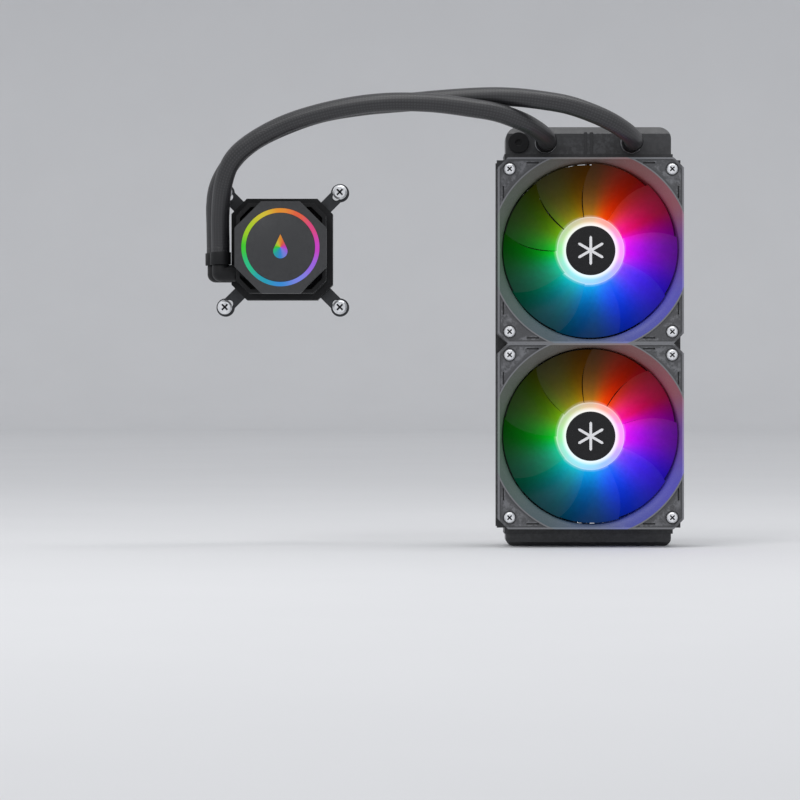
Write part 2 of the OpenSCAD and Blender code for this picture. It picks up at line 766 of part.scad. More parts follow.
module radiator_hose_collars() color("#141517") board() for (i = [-1, 1])
    translate(port_at(i)) hose_collar(rad_collar_l);

module hose_tube(line) color("#1a1a1c") board() swept_hose(line, tube_or, tube_ir);
module hose_sleeve(line) color("#2a2b2e") board() swept_hose(line, sleeve_r, tube_or);

module elbow_collar(reach, z) color("#141517") board()
    translate(elbow_at(reach, z) + [0, elbow_leg_l + seat, 0]) rotate([-90, 0, 0]) hose_collar(pump_collar_l);

// Elbow that turns on a spigot, with a barb for its hose
module elbow(reach, z, face) color("#1d1e21") board() translate(elbow_at(reach, z)) difference() {
    union() {
        sphere(r = elbow_r);
        rotate([0, 90, 0]) cylinder(r = elbow_r, h = reach - face - elbow_gap);
        rotate([-90, 0, 0]) cylinder(r = elbow_r, h = elbow_leg_l);
        rotate([-90, 0, 0]) barbed_end(elbow_leg_l);
    }
    sphere(r = stub_bore_r);
    rotate([0, 90, 0]) cylinder(r = stub_bore_r, h = reach);
    rotate([-90, 0, 0]) cylinder(r = stub_bore_r, h = elbow_leg_l + rad_collar_l);
    translate([reach - face - spigot_l, 0, 0]) rotate([0, 90, 0])
        cylinder(r = spigot_r + running, h = reach);
}

// Seals: under the fill plug, round the spigots and between the pump base and the cold plate
module rubber_seals() color("#0c0c0d") {
    board() translate([-plug_x, port_y, tank_front - tank_wall - ring_seal_t])
        tube(plug_r + ring_seal_w, plug_r, ring_seal_t);
    on_pump() {
        spigot_seal(front_face, front_swivel_z);
        spigot_seal(rear_face, rear_swivel_z);
        translate([0, 0, plate_top]) tube(ring_seal_r + ring_seal_w, ring_seal_r - ring_seal_w, ring_seal_t);
    }
}

module spigot_seal(face, z) translate([-face - face_seal_t, swivel_y, z]) rotate([0, 90, 0])
    tube(spigot_r + ring_seal_w, spigot_r, face_seal_t);

// ---- Pump head ----

module cold_plate() color("#b8683a") on_pump() difference() {
    union() {
        translate([-contact_w / 2, -contact_w / 2, 0]) cube([contact_w, contact_w, boss_h]);
        translate([0, 0, boss_h]) linear_extrude(plate_top - boss_h) cut_square(plate_w, plate_w, plate_cut);
        for (i = [0 : micro_n - 1])
            translate([(i - (micro_n - 1) / 2) * micro_pitch - micro_t / 2, -fin_area / 2, plate_top])
                cube([micro_t, fin_area, micro_h]);
    }
    at_corners(plate_screw_x, plate_screw_x) {
        translate([0, 0, -past]) cylinder(r = plate_screw_r + 0.2, h = plate_top + 2 * past);
        translate([0, 0, -past]) cylinder(r = plate_head_r + 0.2, h = boss_h + plate_head_h + past + seat);
    }
}

module cold_plate_screws() color("#8f9297") on_pump() at_corners(plate_screw_x, plate_screw_x)
    translate([0, 0, boss_h + plate_head_h]) mirror([0, 0, 1])
        screw(plate_screw_r, plate_screw_l, plate_head_r, plate_head_h);

module mounting_bracket() color("#7c8087") on_pump() translate([0, 0, bracket_z])
    linear_extrude(bracket_t) difference() {
        union() {
            cut_square(bracket_w, bracket_w, base_cut);
            around(4) rotate(45) translate([0, -arm_w / 2]) square([arm_reach, arm_w]);
            around(4) rotate(45) translate([arm_reach, 0]) circle(r = pad_r);
        }
        cut_square(plate_w + 2 * seat, plate_w + 2 * seat, plate_cut);
        around(4) rotate(45) {
            translate([arm_reach, 0]) circle(r = bracket_hole_r);
            translate([arm_reach - slot_reach, -bracket_hole_r]) square([slot_reach, 2 * bracket_hole_r]);
            translate([arm_reach - slot_reach, 0]) circle(r = bracket_hole_r);
        }
    }

// Sprung screws that hold the bracket down
module bracket_screws() color("#d0d3d8") on_pump() at_corners(bracket_pitch / 2, bracket_pitch / 2) {
    shoulder_z = bracket_z - bracket_shoulder;
    translate([0, 0, bracket_head_z])
        screw(bracket_shank_r, bracket_head_z - shoulder_z, bracket_head_r, bracket_head_h);
    translate([0, 0, -bracket_screw_stick])
        cylinder(r = bracket_screw_r, h = shoulder_z + bracket_screw_stick);
}

module bracket_springs() color("#a9adb3") on_pump() at_corners(bracket_pitch / 2, bracket_pitch / 2) {
    low = plate_top + spring_wire_r;
    rise = bracket_head_z - plate_top - 2 * spring_wire_r;
    count = spring_turns * spring_steps;
    turn = 360 / spring_steps;
    coil = [for (i = [0 : count])
        [spring_r * cos(i * turn), spring_r * sin(i * turn), low + rise * i / count]];
    swept_wire(coil, spring_wire_r, spring_sides);
}

// Base with both ports, the chamber over the cold plate and the impeller's round chamber
module pump_base() color("#1c1d20") on_pump() difference() {
    union() {
        translate([0, 0, plate_top])
            linear_extrude(base_top - plate_top) cut_square(base_w, base_w, base_cut);
        along_x(-rear_face - spigot_l, -rear_face + 2, swivel_y, rear_swivel_z, spigot_r);
        along_x(-front_face - spigot_l, -riser_x, swivel_y, front_swivel_z, spigot_r);
        translate([-riser_x, swivel_y, front_swivel_z]) rotate([-90, 0, 0])
            cylinder(r = riser_r, h = riser_y - swivel_y + riser_r);
        translate([-riser_x, riser_y, base_top - 1]) cylinder(r = riser_r, h = front_swivel_z - base_top + 1);
    }
    translate([0, 0, plate_top - past]) cylinder(r = chamber_r, h = chamber_top - plate_top + past);
    translate([0, 0, chamber_top - past]) cylinder(r = volute_r, h = volute_top - chamber_top + past);
    translate([0, 0, volute_top - past]) cylinder(r = can_r, h = base_top);
    translate([0, 0, plate_top - past])
        tube(ring_seal_r + ring_seal_w, ring_seal_r - ring_seal_w, ring_seal_t + past);
    // Inlet from the rear port down to the cold plate
    along_x(-rear_face - spigot_l - past, -inlet_x, swivel_y, rear_swivel_z, duct_r);
    translate([-inlet_x, swivel_y, plate_top]) cylinder(r = duct_r, h = rear_swivel_z - plate_top);
    // Outlet from the impeller's chamber up the riser to the front port
    along_x(-front_face - spigot_l - past, -riser_x, swivel_y, front_swivel_z, duct_r);
    translate([-riser_x, swivel_y, front_swivel_z]) rotate([-90, 0, 0])
        cylinder(r = duct_r, h = riser_y - swivel_y);
    translate([-riser_x, riser_y, outlet_z]) cylinder(r = duct_r, h = front_swivel_z - outlet_z);
    along_x(-riser_x, -impeller_r, riser_y, outlet_z, duct_r);
    at_corners(plate_screw_x, plate_screw_x) translate([0, 0, plate_top - past])
        cylinder(r = plate_screw_r, h = plate_screw_l);
}

// Round bar from x = a to x = b
module along_x(a, b, y, z, r) translate([a, y, z]) rotate([0, 90, 0]) cylinder(r = r, h = b - a);

module chamber_plate() color("#d9d5c8") on_pump() translate([0, 0, chamber_top])
    tube(volute_r - seat, eye_r, chamber_plate_t);

module pump_rotor() color("#ece9df") on_pump() difference() {
    union() {
        translate([0, 0, impeller_z]) cylinder(r = impeller_r, h = impeller_t);
        around(vane_n) translate([eye_r - 1, -0.5, impeller_z - vane_h])
            cube([impeller_r - eye_r, 1, vane_h + impeller_t / 2]);
        translate([0, 0, impeller_z]) cylinder(r = pump_magnet_r - pump_magnet_t, h = rotor_top - impeller_z);
    }
    translate([0, 0, chamber_top]) cylinder(r = pump_shaft_r + running, h = rotor_top);
}

module pump_magnet() color("#33363b") on_pump() translate([0, 0, magnet_z])
    tube(pump_magnet_r, pump_magnet_r - pump_magnet_t, rotor_top - magnet_z);

module pump_shaft() color("#f3f1ea") on_pump() translate([0, 0, shaft_z])
    cylinder(r = pump_shaft_r, h = can_top - can_roof - shaft_z + shaft_socket);

// Can that keeps the liquid away from the coils, with a socket for the shaft
module pump_can() color("#9fa3a9") on_pump() difference() {
    union() {
        translate([0, 0, base_top]) cylinder(r = can_flange_r, h = can_flange_t);
        translate([0, 0, volute_top]) cylinder(r = can_r, h = can_top - volute_top);
    }
    translate([0, 0, volute_top - past])
        cylinder(r = can_r - can_wall, h = can_top - can_roof - volute_top + past);
    translate([0, 0, volute_top])
        cylinder(r = pump_shaft_r, h = can_top - can_roof - volute_top + shaft_socket);
}

module pump_stator() color("#6f747c") on_pump() translate([0, 0, pump_stator_z]) difference() {
    union() {
        tube(pump_stator_r, pump_stator_r - pump_yoke_t, pump_stator_h);
        around(pump_tooth_n) translate([can_r - 1, -pump_tooth_w / 2, 0])
            cube([pump_stator_r - can_r - 0.5, pump_tooth_w, pump_stator_h]);
    }
    translate([0, 0, -past]) cylinder(r = can_r, h = pump_stator_h + 2 * past);
}

module pump_coils() color("#c46b2c") on_pump() translate([0, 0, pump_stator_z - pump_coil_t])
    around(pump_tooth_n) translate([can_flange_r + 0.2, 0, 0]) difference() {
        l = pump_stator_r - pump_yoke_t - can_flange_r - 0.7;
        translate([0, -pump_tooth_w / 2 - pump_coil_t, 0])
            cube([l, pump_tooth_w + 2 * pump_coil_t, pump_stator_h + 2 * pump_coil_t]);
        translate([-past, -pump_tooth_w / 2, pump_coil_t]) cube([l + 2 * past, pump_tooth_w, pump_stator_h]);
    }

module pump_housing() color("#1c1d20") on_pump() difference() {
    translate([0, 0, base_top]) linear_extrude(housing_top - base_top)
        cut_square(housing_w, housing_w, housing_cut);
    translate([0, 0, base_top - past]) linear_extrude(housing_top - base_top + 2 * past)
        cut_square(housing_w - 2 * housing_wall, housing_w - 2 * housing_wall, housing_cut - 1);
    // Way for the front port, open at the foot
    translate([-front_face - past, swivel_y - spigot_r, base_top - past])
        cube([housing_wall + 2 * past, 2 * spigot_r, front_swivel_z - base_top + past]);
    along_x(-front_face - past, -front_face + housing_wall + past, swivel_y, front_swivel_z, spigot_r);
    // Way for a cable
    translate([-cable_way_w / 2, -housing_w / 2 - past, base_top - past])
        cube([cable_way_w, housing_wall + 2 * past, cable_way_h + past]);
}

module pump_board() color("#1f5a3a") on_pump() translate([0, 0, housing_top]) {
    linear_extrude(pump_board_t)
        cut_square(cover_w - 2 * cover_wall - 1, cover_w - 2 * cover_wall - 1, cover_cut - 1);
    around(pump_led_n) translate([ring_r - ring_w / 2 - pump_led_w / 2, -pump_led_w / 2, pump_board_t])
        cube([pump_led_w, pump_led_w, led_t]);
}

// Octagonal cover with a round opening for the light ring
module pump_cover() color("#3c3e42") on_pump() difference() {
    translate([0, 0, housing_top]) linear_extrude(cover_h) cut_square(cover_w, cover_w, cover_cut);
    translate([0, 0, housing_top - past]) linear_extrude(cover_h - cover_plate_t + past)
        cut_square(cover_w - 2 * cover_wall, cover_w - 2 * cover_wall, cover_cut - 1);
    translate([0, 0, housing_top]) cylinder(r = ring_r, h = cover_h + past);
}

// Ring that carries the light from the board up to the cover's face
module pump_light_guide() color("#f4f6ff") on_pump() difference() {
    translate([0, 0, guide_z]) union() {
        cylinder(r = ring_r + guide_lip, h = pump_h - cover_plate_t - guide_z);
        cylinder(r = ring_r, h = pump_h - ring_sink - guide_z);
    }
    translate([0, 0, guide_z - past]) cylinder(r = ring_r - ring_w, h = cover_h + past);
}

module pump_face_disc() color("#3c3e42") on_pump() {
    translate([0, 0, disc_z]) cylinder(r = ring_r - ring_w, h = pump_h - disc_z);
    translate([0, 0, pump_h]) drop(emblem_r, emblem_tip, emblem_t);
}

// Water drop: a round belly and a pointed top
module drop(r, tip, h) {
    a = acos(r / tip);
    translate([0, -2, 0]) {
        cylinder(r = r, h = h);
        linear_extrude(h) polygon([[r * sin(a), r * cos(a)], [0, tip], [-r * sin(a), r * cos(a)], [0, 0]]);
    }
}

// ---- Named pieces ----

module upper_header_plate() color("#2b2d31") header_plate(1);
module lower_header_plate() color("#2b2d31") header_plate(-1);
module left_side_channel() side_channel(-1);
module right_side_channel() side_channel(1);

module upper_fan_frame() on_fan(1) fan_frame();
module upper_fan_bearing() on_fan(1) fan_bearing();
module upper_fan_stator() on_fan(1) fan_stator();
module upper_fan_coils() on_fan(1) fan_coils();
module upper_fan_board() on_fan(1) fan_board();
module upper_fan_impeller() on_fan(1) fan_impeller();
module upper_fan_yoke() on_fan(1) fan_yoke();
module upper_fan_magnet() on_fan(1) fan_magnet();
module upper_fan_shaft() on_fan(1) fan_shaft();
module upper_fan_cap() on_fan(1) fan_cap();
module lower_fan_frame() on_fan(-1) fan_frame();
module lower_fan_bearing() on_fan(-1) fan_bearing();
module lower_fan_stator() on_fan(-1) fan_stator();
module lower_fan_coils() on_fan(-1) fan_coils();
module lower_fan_board() on_fan(-1) fan_board();
module lower_fan_impeller() on_fan(-1) fan_impeller();
module lower_fan_yoke() on_fan(-1) fan_yoke();
module lower_fan_magnet() on_fan(-1) fan_magnet();
module lower_fan_shaft() on_fan(-1) fan_shaft();
module lower_fan_cap() on_fan(-1) fan_cap();
module front_hose_tube() hose_tube(front_line);
module front_hose_sleeve() hose_sleeve(front_line);
module rear_hose_tube() hose_tube(rear_line);
module rear_hose_sleeve() hose_sleeve(rear_line);
module front_elbow() elbow(front_reach, front_swivel_z, front_face);
module rear_elbow() elbow(rear_reach, rear_swivel_z, rear_face);
module front_elbow_collar() elbow_collar(front_reach, front_swivel_z);
module rear_elbow_collar() elbow_collar(rear_reach, rear_swivel_z);

flat_tubes();
fin_strips();
upper_header_plate();
lower_header_plate();
upper_tank();
lower_tank();
tank_divider();
left_side_channel();
right_side_channel();
port_stubs();
fill_plug();
fan_screws();
upper_fan_frame();
upper_fan_bearing();
upper_fan_stator();
upper_fan_coils();
upper_fan_board();
upper_fan_impeller();
upper_fan_yoke();
upper_fan_magnet();
upper_fan_shaft();
upper_fan_cap();
lower_fan_frame();
lower_fan_bearing();
lower_fan_stator();
lower_fan_coils();
lower_fan_board();
lower_fan_impeller();
lower_fan_yoke();
lower_fan_magnet();
lower_fan_shaft();
lower_fan_cap();
front_hose_tube();
front_hose_sleeve();
rear_hose_tube();
rear_hose_sleeve();
radiator_hose_collars();
front_elbow();
front_elbow_collar();
rear_elbow();
rear_elbow_collar();
rubber_seals();
cold_plate();
cold_plate_screws();
mounting_bracket();
bracket_screws();
bracket_springs();
pump_base();
chamber_plate();
pump_rotor();
pump_magnet();
pump_shaft();
pump_can();
pump_stator();
pump_coils();
pump_housing();
pump_board();
pump_light_guide();
pump_cover();
pump_face_disc();
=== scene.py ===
import json
from math import asin, cos, pi, radians, sin, sqrt, tau

import bpy
import numpy as np
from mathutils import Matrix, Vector


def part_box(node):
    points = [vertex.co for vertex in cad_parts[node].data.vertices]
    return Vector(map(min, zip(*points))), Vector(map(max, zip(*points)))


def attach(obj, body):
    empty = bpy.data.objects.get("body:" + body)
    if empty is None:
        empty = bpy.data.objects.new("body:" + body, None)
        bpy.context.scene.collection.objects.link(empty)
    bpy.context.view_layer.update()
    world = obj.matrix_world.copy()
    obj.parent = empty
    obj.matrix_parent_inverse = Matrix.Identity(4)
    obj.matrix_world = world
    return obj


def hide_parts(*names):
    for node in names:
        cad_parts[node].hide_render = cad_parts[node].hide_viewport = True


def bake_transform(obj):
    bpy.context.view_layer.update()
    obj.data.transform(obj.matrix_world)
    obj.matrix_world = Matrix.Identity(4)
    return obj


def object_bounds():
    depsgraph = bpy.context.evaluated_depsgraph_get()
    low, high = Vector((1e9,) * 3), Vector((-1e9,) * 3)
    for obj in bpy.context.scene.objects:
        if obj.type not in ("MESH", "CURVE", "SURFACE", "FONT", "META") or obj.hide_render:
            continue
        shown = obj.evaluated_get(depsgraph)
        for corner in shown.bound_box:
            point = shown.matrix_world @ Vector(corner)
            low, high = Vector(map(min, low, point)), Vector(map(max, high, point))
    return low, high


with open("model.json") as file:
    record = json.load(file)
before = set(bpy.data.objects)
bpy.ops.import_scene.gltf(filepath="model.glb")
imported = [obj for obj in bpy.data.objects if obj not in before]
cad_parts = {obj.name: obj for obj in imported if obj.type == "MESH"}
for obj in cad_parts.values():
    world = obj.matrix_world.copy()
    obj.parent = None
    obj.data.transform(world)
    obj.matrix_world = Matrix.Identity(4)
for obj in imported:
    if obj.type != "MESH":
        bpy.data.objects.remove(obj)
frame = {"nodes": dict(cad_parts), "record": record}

CAD_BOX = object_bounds()
NODES = frame["nodes"]


def mm(value):
    return value * 0.001


def board(x, y, z):
    """A point of the cooler's own board frame, in millimetres: x right, y up, z towards the viewer."""
    return (mm(x), -mm(z), mm(y))


# ---------------------------------------------------------------- sizes shared with the CAD model
FAN_BOX = {side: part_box(f"{side}_fan_frame") for side in ("upper", "lower")}
FAN_CENTRE = {side: (box[0] + box[1]) / 2 for side, box in FAN_BOX.items()}
FAN_BACK = FAN_BOX["upper"][1].y
FAN_FRONT = FAN_BOX["upper"][0].y
PUMP_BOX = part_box("pump_cover")
PUMP_X = (PUMP_BOX[0].x + PUMP_BOX[1].x) / 2
PUMP_Z = (PUMP_BOX[0].z + PUMP_BOX[1].z) / 2


# ---------------------------------------------------------------- camera
CAMERA_X, CAMERA_Z = -0.1232, -0.0366
CAMERA_REACH = 2.0
CAMERA_LENS = 139.5


def add_camera():
    """Square on to the fans, far enough away for the photograph's weak perspective."""
    eye = Vector((CAMERA_X, FAN_FRONT - CAMERA_REACH, CAMERA_Z))
    data = bpy.data.cameras.new("camera")
    data.lens = CAMERA_LENS
    data.sensor_width = 36
    data.clip_end = 20
    camera = bpy.data.objects.new("camera", data)
    camera.location = eye
    camera.rotation_euler = (radians(90), 0, 0)
    bpy.context.scene.collection.objects.link(camera)
    bpy.context.scene.camera = camera


# ---------------------------------------------------------------- mesh helpers
def add_mesh(name, points, faces, material, place=(0, 0, 0), sharp=40):
    """A new object from points and faces around place. Faces are lists of point numbers."""
    mesh = bpy.data.meshes.new(name)
    points = np.asarray(points, float)
    sizes = np.array([len(f) for f in faces])
    mesh.vertices.add(len(points))
    mesh.vertices.foreach_set("co", points.ravel())
    mesh.loops.add(int(sizes.sum()))
    mesh.loops.foreach_set("vertex_index", np.concatenate([np.asarray(f) for f in faces]))
    mesh.polygons.add(len(faces))
    mesh.polygons.foreach_set("loop_start", np.concatenate([[0], np.cumsum(sizes)[:-1]]))
    mesh.polygons.foreach_set("use_smooth", np.ones(len(faces), bool))
    mesh.update(calc_edges=True)
    mesh.validate()
    mesh.set_sharp_from_angle(angle=radians(sharp))
    for m in material if isinstance(material, list) else [material]:
        mesh.materials.append(m)
    obj = bpy.data.objects.new(name, mesh)
    obj.location = place
    bpy.context.scene.collection.objects.link(obj)
    return obj


def grid_faces(rows, columns, closed_rows=False, start=0):
    """Quads of a grid of rows by columns whose columns close on themselves, and its rows too if asked."""
    r = np.arange(rows if closed_rows else rows - 1)[:, None]
    c = np.arange(columns)[None, :]
    r2 = (r + 1) % rows
    c2 = (c + 1) % columns
    quads = np.stack([r * columns + c, r * columns + c2, r2 * columns + c2, r2 * columns + c], -1)
    return quads.reshape(-1, 4) + start


def smooth_line(points, steps):
    """Catmull-Rom curve through the points, with the end points repeated."""
    p = np.array([points[0], *points, points[-1]], float)
    out = []
    for i in range(1, len(p) - 2):
        a, b, c, d = p[i - 1:i + 3]
        for u in np.arange(steps) / steps:
            out.append(0.5 * (2 * b + (c - a) * u + (2 * a - 5 * b + 4 * c - d) * u * u
                              + (3 * b - a - 3 * c + d) * u ** 3))
    return np.array([*out, p[-2]])


def even_line(line, step):
    """The same line with its points an even step apart, and the distance of each from the start."""
    along = np.concatenate([[0], np.cumsum(np.linalg.norm(np.diff(line, axis=0), axis=1))])
    count = int(along[-1] / step) + 1
    at = np.linspace(0, along[-1], count)
    return np.stack([np.interp(at, along, line[:, k]) for k in range(3)], 1), at


def line_frames(line):
    """Tangents and two side directions that turn as little as they can along the line."""
    tangent = np.gradient(line, axis=0)
    tangent /= np.linalg.norm(tangent, axis=1)[:, None]
    side = np.zeros_like(tangent)
    first = np.cross(tangent[0], (0.6, 0.5, 0.6))
    side[0] = first / np.linalg.norm(first)
    for i in range(1, len(line)):
        s = side[i - 1] - tangent[i] * (side[i - 1] @ tangent[i])
        side[i] = s / np.linalg.norm(s)
    return tangent, side, np.cross(tangent, side)


def tube_points(line, radius, around):
    """Rings of points round the line. radius is a number or an array of line points by around."""
    _, a, b = line_frames(line)
    turn = np.arange(around) * tau / around
    ring = a[:, None] * np.cos(turn)[None, :, None] + b[:, None] * np.sin(turn)[None, :, None]
    r = np.broadcast_to(radius, (len(line), around))
    return (line[:, None] + ring * r[..., None]).reshape(-1, 3)


def tube_faces(rings, around, start=0):
    """A tube's quads and its two end caps."""
    caps = [list(range(around))[::-1], [(rings - 1) * around + i for i in range(around)]]
    return [*grid_faces(rings, around, start=start).tolist(), *[[i + start for i in c] for c in caps]]


def lathe(profile, around):
    """Points and faces of a closed outline of (radius, height) turned about the Y axis, height towards -Y."""
    turn = np.arange(around) * tau / around
    r, height = np.array(profile, float).T[:, :, None]
    points = np.stack([r * np.sin(turn), np.repeat(-height, around, 1), r * np.cos(turn)], -1)
    return points.reshape(-1, 3), grid_faces(len(r), around, closed_rows=True).tolist()


def prism(outline, low, high):
    """Points and faces of a flat outline of (x, z) pushed out from height low to high towards -Y."""
    n = len(outline)
    points = [(x, -low, z) for x, z in outline] + [(x, -high, z) for x, z in outline]
    sides = [[i, (i + 1) % n, n + (i + 1) % n, n + i] for i in range(n)]
    return points, [list(range(n))[::-1], [n + i for i in range(n)], *sides]


def joined(*parts):
    """Several (points, faces) put into one."""
    points, faces, count = [], [], 0
    for p, f in parts:
        points.extend(np.asarray(p).tolist())
        faces.extend([[i + count for i in face] for face in f])
        count += len(p)
    return points, faces


def soften_edges(node, width=0.25):
    """Rounds the sharp edges of a CAD node that stays in view, with modifiers only."""
    obj = NODES[node]
    weld = obj.modifiers.new("weld", "WELD")
    weld.merge_threshold = 1e-6
    flat = obj.modifiers.new("flat", "DECIMATE")
    flat.decimate_type = "DISSOLVE"
    flat.angle_limit = radians(0.5)
    edge = obj.modifiers.new("edge", "BEVEL")
    edge.width = mm(width)
    edge.segments = 2
    edge.limit_method = "ANGLE"
    edge.angle_limit = radians(38)
    edge.harden_normals = True


# ---------------------------------------------------------------- material helpers
class Finish:
    """A material under construction, with short calls for the nodes that every finish uses."""

    def __init__(self, name):
        self.material = bpy.data.materials.new(name)
        self.material.use_nodes = True
        self.tree = self.material.node_tree
        self.shader = self.tree.nodes["Principled BSDF"]
        self.place = self.node("ShaderNodeTexCoord").outputs["Object"]

    def node(self, kind, **settings):
        made = self.tree.nodes.new(kind)
        for key, value in settings.items():
            setattr(made, key, value)
        return made

    def link(self, source, target):
        self.tree.links.new(source, target)

    def stretched(self, scale):
        """Object coordinates scaled apart, for grain that runs one way."""
        mapping = self.node("ShaderNodeMapping")
        self.link(self.place, mapping.inputs["Vector"])
        mapping.inputs["Scale"].default_value = scale
        return mapping.outputs["Vector"]

    def noise(self, size, detail=4, rough=0.6, place=None):
        """Noise whose features are about size millimetres across."""
        made = self.node("ShaderNodeTexNoise")
        self.link(place or self.place, made.inputs["Vector"])
        made.inputs["Scale"].default_value = 1 / mm(size)
        made.inputs["Detail"].default_value = detail
        made.inputs["Roughness"].default_value = rough
        return made.outputs["Fac"]

    def remap(self, value, low, high, source=(0.3, 0.7)):
        made = self.node("ShaderNodeMapRange")
        self.link(value, made.inputs["Value"])
        made.inputs["From Min"].default_value = source[0]
        made.inputs["From Max"].default_value = source[1]
        made.inputs["To Min"].default_value = low
        made.inputs["To Max"].default_value = high
        return made.outputs["Result"]

    def math(self, operation, a, b=None, clamp=False):
        made = self.node("ShaderNodeMath", operation=operation, use_clamp=clamp)
        for socket, value in zip(made.inputs, (a, b)):
            if value is None:
                continue
            if isinstance(value, (int, float)):
                socket.default_value = value
            else:
                self.link(value, socket)
        return made.outputs[0]

    def mix(self, factor, a, b):
        """Blend of two colours. Each is three numbers or a socket."""
        made = self.node("ShaderNodeMix", data_type="RGBA")
        self.link(factor, made.inputs[0])
        for socket, value in zip((made.inputs[6], made.inputs[7]), (a, b)):
            if isinstance(value, tuple):
                socket.default_value = (*value, 1)
            else:
                self.link(value, socket)
        return made.outputs[2]

    def scaled(self, colour, factor):
        """A colour socket times a number socket."""
        made = self.node("ShaderNodeVectorMath", operation="SCALE")
        self.link(colour, made.inputs[0])
        self.link(factor, made.inputs["Scale"])
        return made.outputs[0]

    def bump(self, height, depth, below=None, strength=1.0):
        """Bump of depth millimetres, over another bump if one is given."""
        made = self.node("ShaderNodeBump")
        made.inputs["Strength"].default_value = strength
        made.inputs["Distance"].default_value = mm(depth)
        self.link(height, made.inputs["Height"])
        if below is not None:
            self.link(below, made.inputs["Normal"])
        return made.outputs["Normal"]

    def worn_edges(self, colour, worn, amount=0.6):
        """Shows a lighter tone along outer edges, broken up by noise."""
        pointiness = self.node("ShaderNodeNewGeometry").outputs["Pointiness"]
        edge = self.remap(pointiness, 0, amount, source=(0.52, 0.6))
        patches = self.remap(self.noise(2.5), 0, 1, source=(0.42, 0.6))
        broken = self.math("MULTIPLY", edge, patches, clamp=True)
        return self.mix(broken, colour, worn)

    def set(self, **sockets):
        """Sets the shader's own sockets: numbers and colours as they are, and sockets by a link."""
        for key, value in sockets.items():
            socket = self.shader.inputs[key.replace("_", " ")]
            if isinstance(value, bpy.types.NodeSocket):
                self.link(value, socket)
            else:
                socket.default_value = value
        return self.material


def shade(colour, factor):
    """A colour made darker or lighter."""
    return tuple(c * factor for c in colour)


def moulded(name, colour, rough=(0.42, 0.6), grain=0.35, depth=0.02, vary=0.22, wear=1.6, shine=0.5):
    """Moulded plastic: fine spark texture, slow tone changes and slightly polished edges."""
    f = Finish(name)
    tone = f.mix(f.noise(14, 5), shade(colour, 1 - vary), shade(colour, 1 + vary))
    speck = f.mix(f.remap(f.noise(grain, 2), 0, 0.45, source=(0.5, 0.8)), tone, shade(colour, 1.7))
    fine = f.bump(f.noise(grain, 3), depth)
    skin = f.bump(f.noise(6, 2), depth * 2, fine, 0.35)
    return f.set(
        Base_Color=f.worn_edges(speck, shade(colour, wear)), Roughness=f.remap(f.noise(9, 5), *rough),
        Normal=skin, Specular_IOR_Level=shine,
    )


def painted(name, colour, rough=(0.34, 0.5), wear=2.2, brushed=None):
    """Satin paint on aluminium: orange peel, light rubbing marks that double as painted highlight streaks, and
    bright edges.
    """
    f = Finish(name)
    tone = f.mix(f.noise(30, 3), shade(colour, 0.92), shade(colour, 1.1))
    # Stretched streaks, lighter in the colour below: partly rubbing marks, partly a painted highlight along the
    # grain.
    rub_marks_and_highlight = f.noise(1000, 3, place=f.stretched(brushed or (20, 300, 1500)))
    marks = f.mix(f.remap(rub_marks_and_highlight, 0, 0.22, source=(0.45, 0.75)), tone, shade(colour, 1.6))
    peel = f.bump(f.noise(0.8, 2), 0.025)
    return f.set(
        Base_Color=f.worn_edges(marks, shade(colour, wear), 0.8), Metallic=0.15, Normal=peel,
        Roughness=f.remap(f.noise(12, 3), *rough), Specular_IOR_Level=0.6,
    )


def metal(name, colour, rough=(0.18, 0.34), stretch=(60, 200, 1500), depth=0.008, tarnish=0.78):
    """Bare metal with drawn or turned marks and a little tarnish."""
    f = Finish(name)
    marks = f.noise(1000, 3, place=f.stretched(stretch))
    tone = f.mix(f.remap(f.noise(7, 6), 0, 1), shade(colour, tarnish), colour)
    uneven = f.math("ADD", f.remap(f.noise(4, 5), *rough), f.remap(marks, -0.05, 0.07))
    return f.set(Base_Color=tone, Metallic=1.0, Roughness=uneven, Normal=f.bump(marks, depth))


def rubbery(name, colour):
    """Soft black rubber, dull, with a fine matt skin and a trace of bloom."""
    f = Finish(name)
    bloom = f.remap(f.noise(5, 6), 0, 0.5, source=(0.5, 0.75))
    return f.set(
        Base_Color=f.mix(bloom, colour, shade(colour, 2.6)), Roughness=f.remap(f.noise(3, 4), 0.62, 0.85),
        Normal=f.bump(f.noise(0.25, 3), 0.02),
    )


def laminated(name, colour):
    """Stacked electrical steel: thin sheets on edge, about half a millimetre each."""
    f = Finish(name)
    sheets = f.node("ShaderNodeTexWave", wave_type="BANDS", bands_direction="Y")
    f.link(f.place, sheets.inputs["Vector"])
    sheets.inputs["Scale"].default_value = 1 / mm(2.2)
    sheets.inputs["Distortion"].default_value = 0.3
    return f.set(
        Base_Color=f.mix(sheets.outputs["Fac"], shade(colour, 0.6), colour), Metallic=1.0,
        Roughness=f.remap(f.noise(2, 4), 0.35, 0.55), Normal=f.bump(sheets.outputs["Fac"], 0.06),
    )


def wound(name, colour):
    """Enamelled copper wire wound side by side."""
    f = Finish(name)
    turns = f.node("ShaderNodeTexWave", wave_type="BANDS", bands_direction="DIAGONAL")
    f.link(f.place, turns.inputs["Vector"])
    turns.inputs["Scale"].default_value = 1 / mm(1.6)
    turns.inputs["Distortion"].default_value = 0.8
    return f.set(
        Base_Color=f.mix(turns.outputs["Fac"], shade(colour, 0.45), colour), Metallic=0.85,
        Roughness=f.remap(f.noise(2, 4), 0.2, 0.35), Coat_Weight=0.6,
        Normal=f.bump(turns.outputs["Fac"], 0.15),
    )


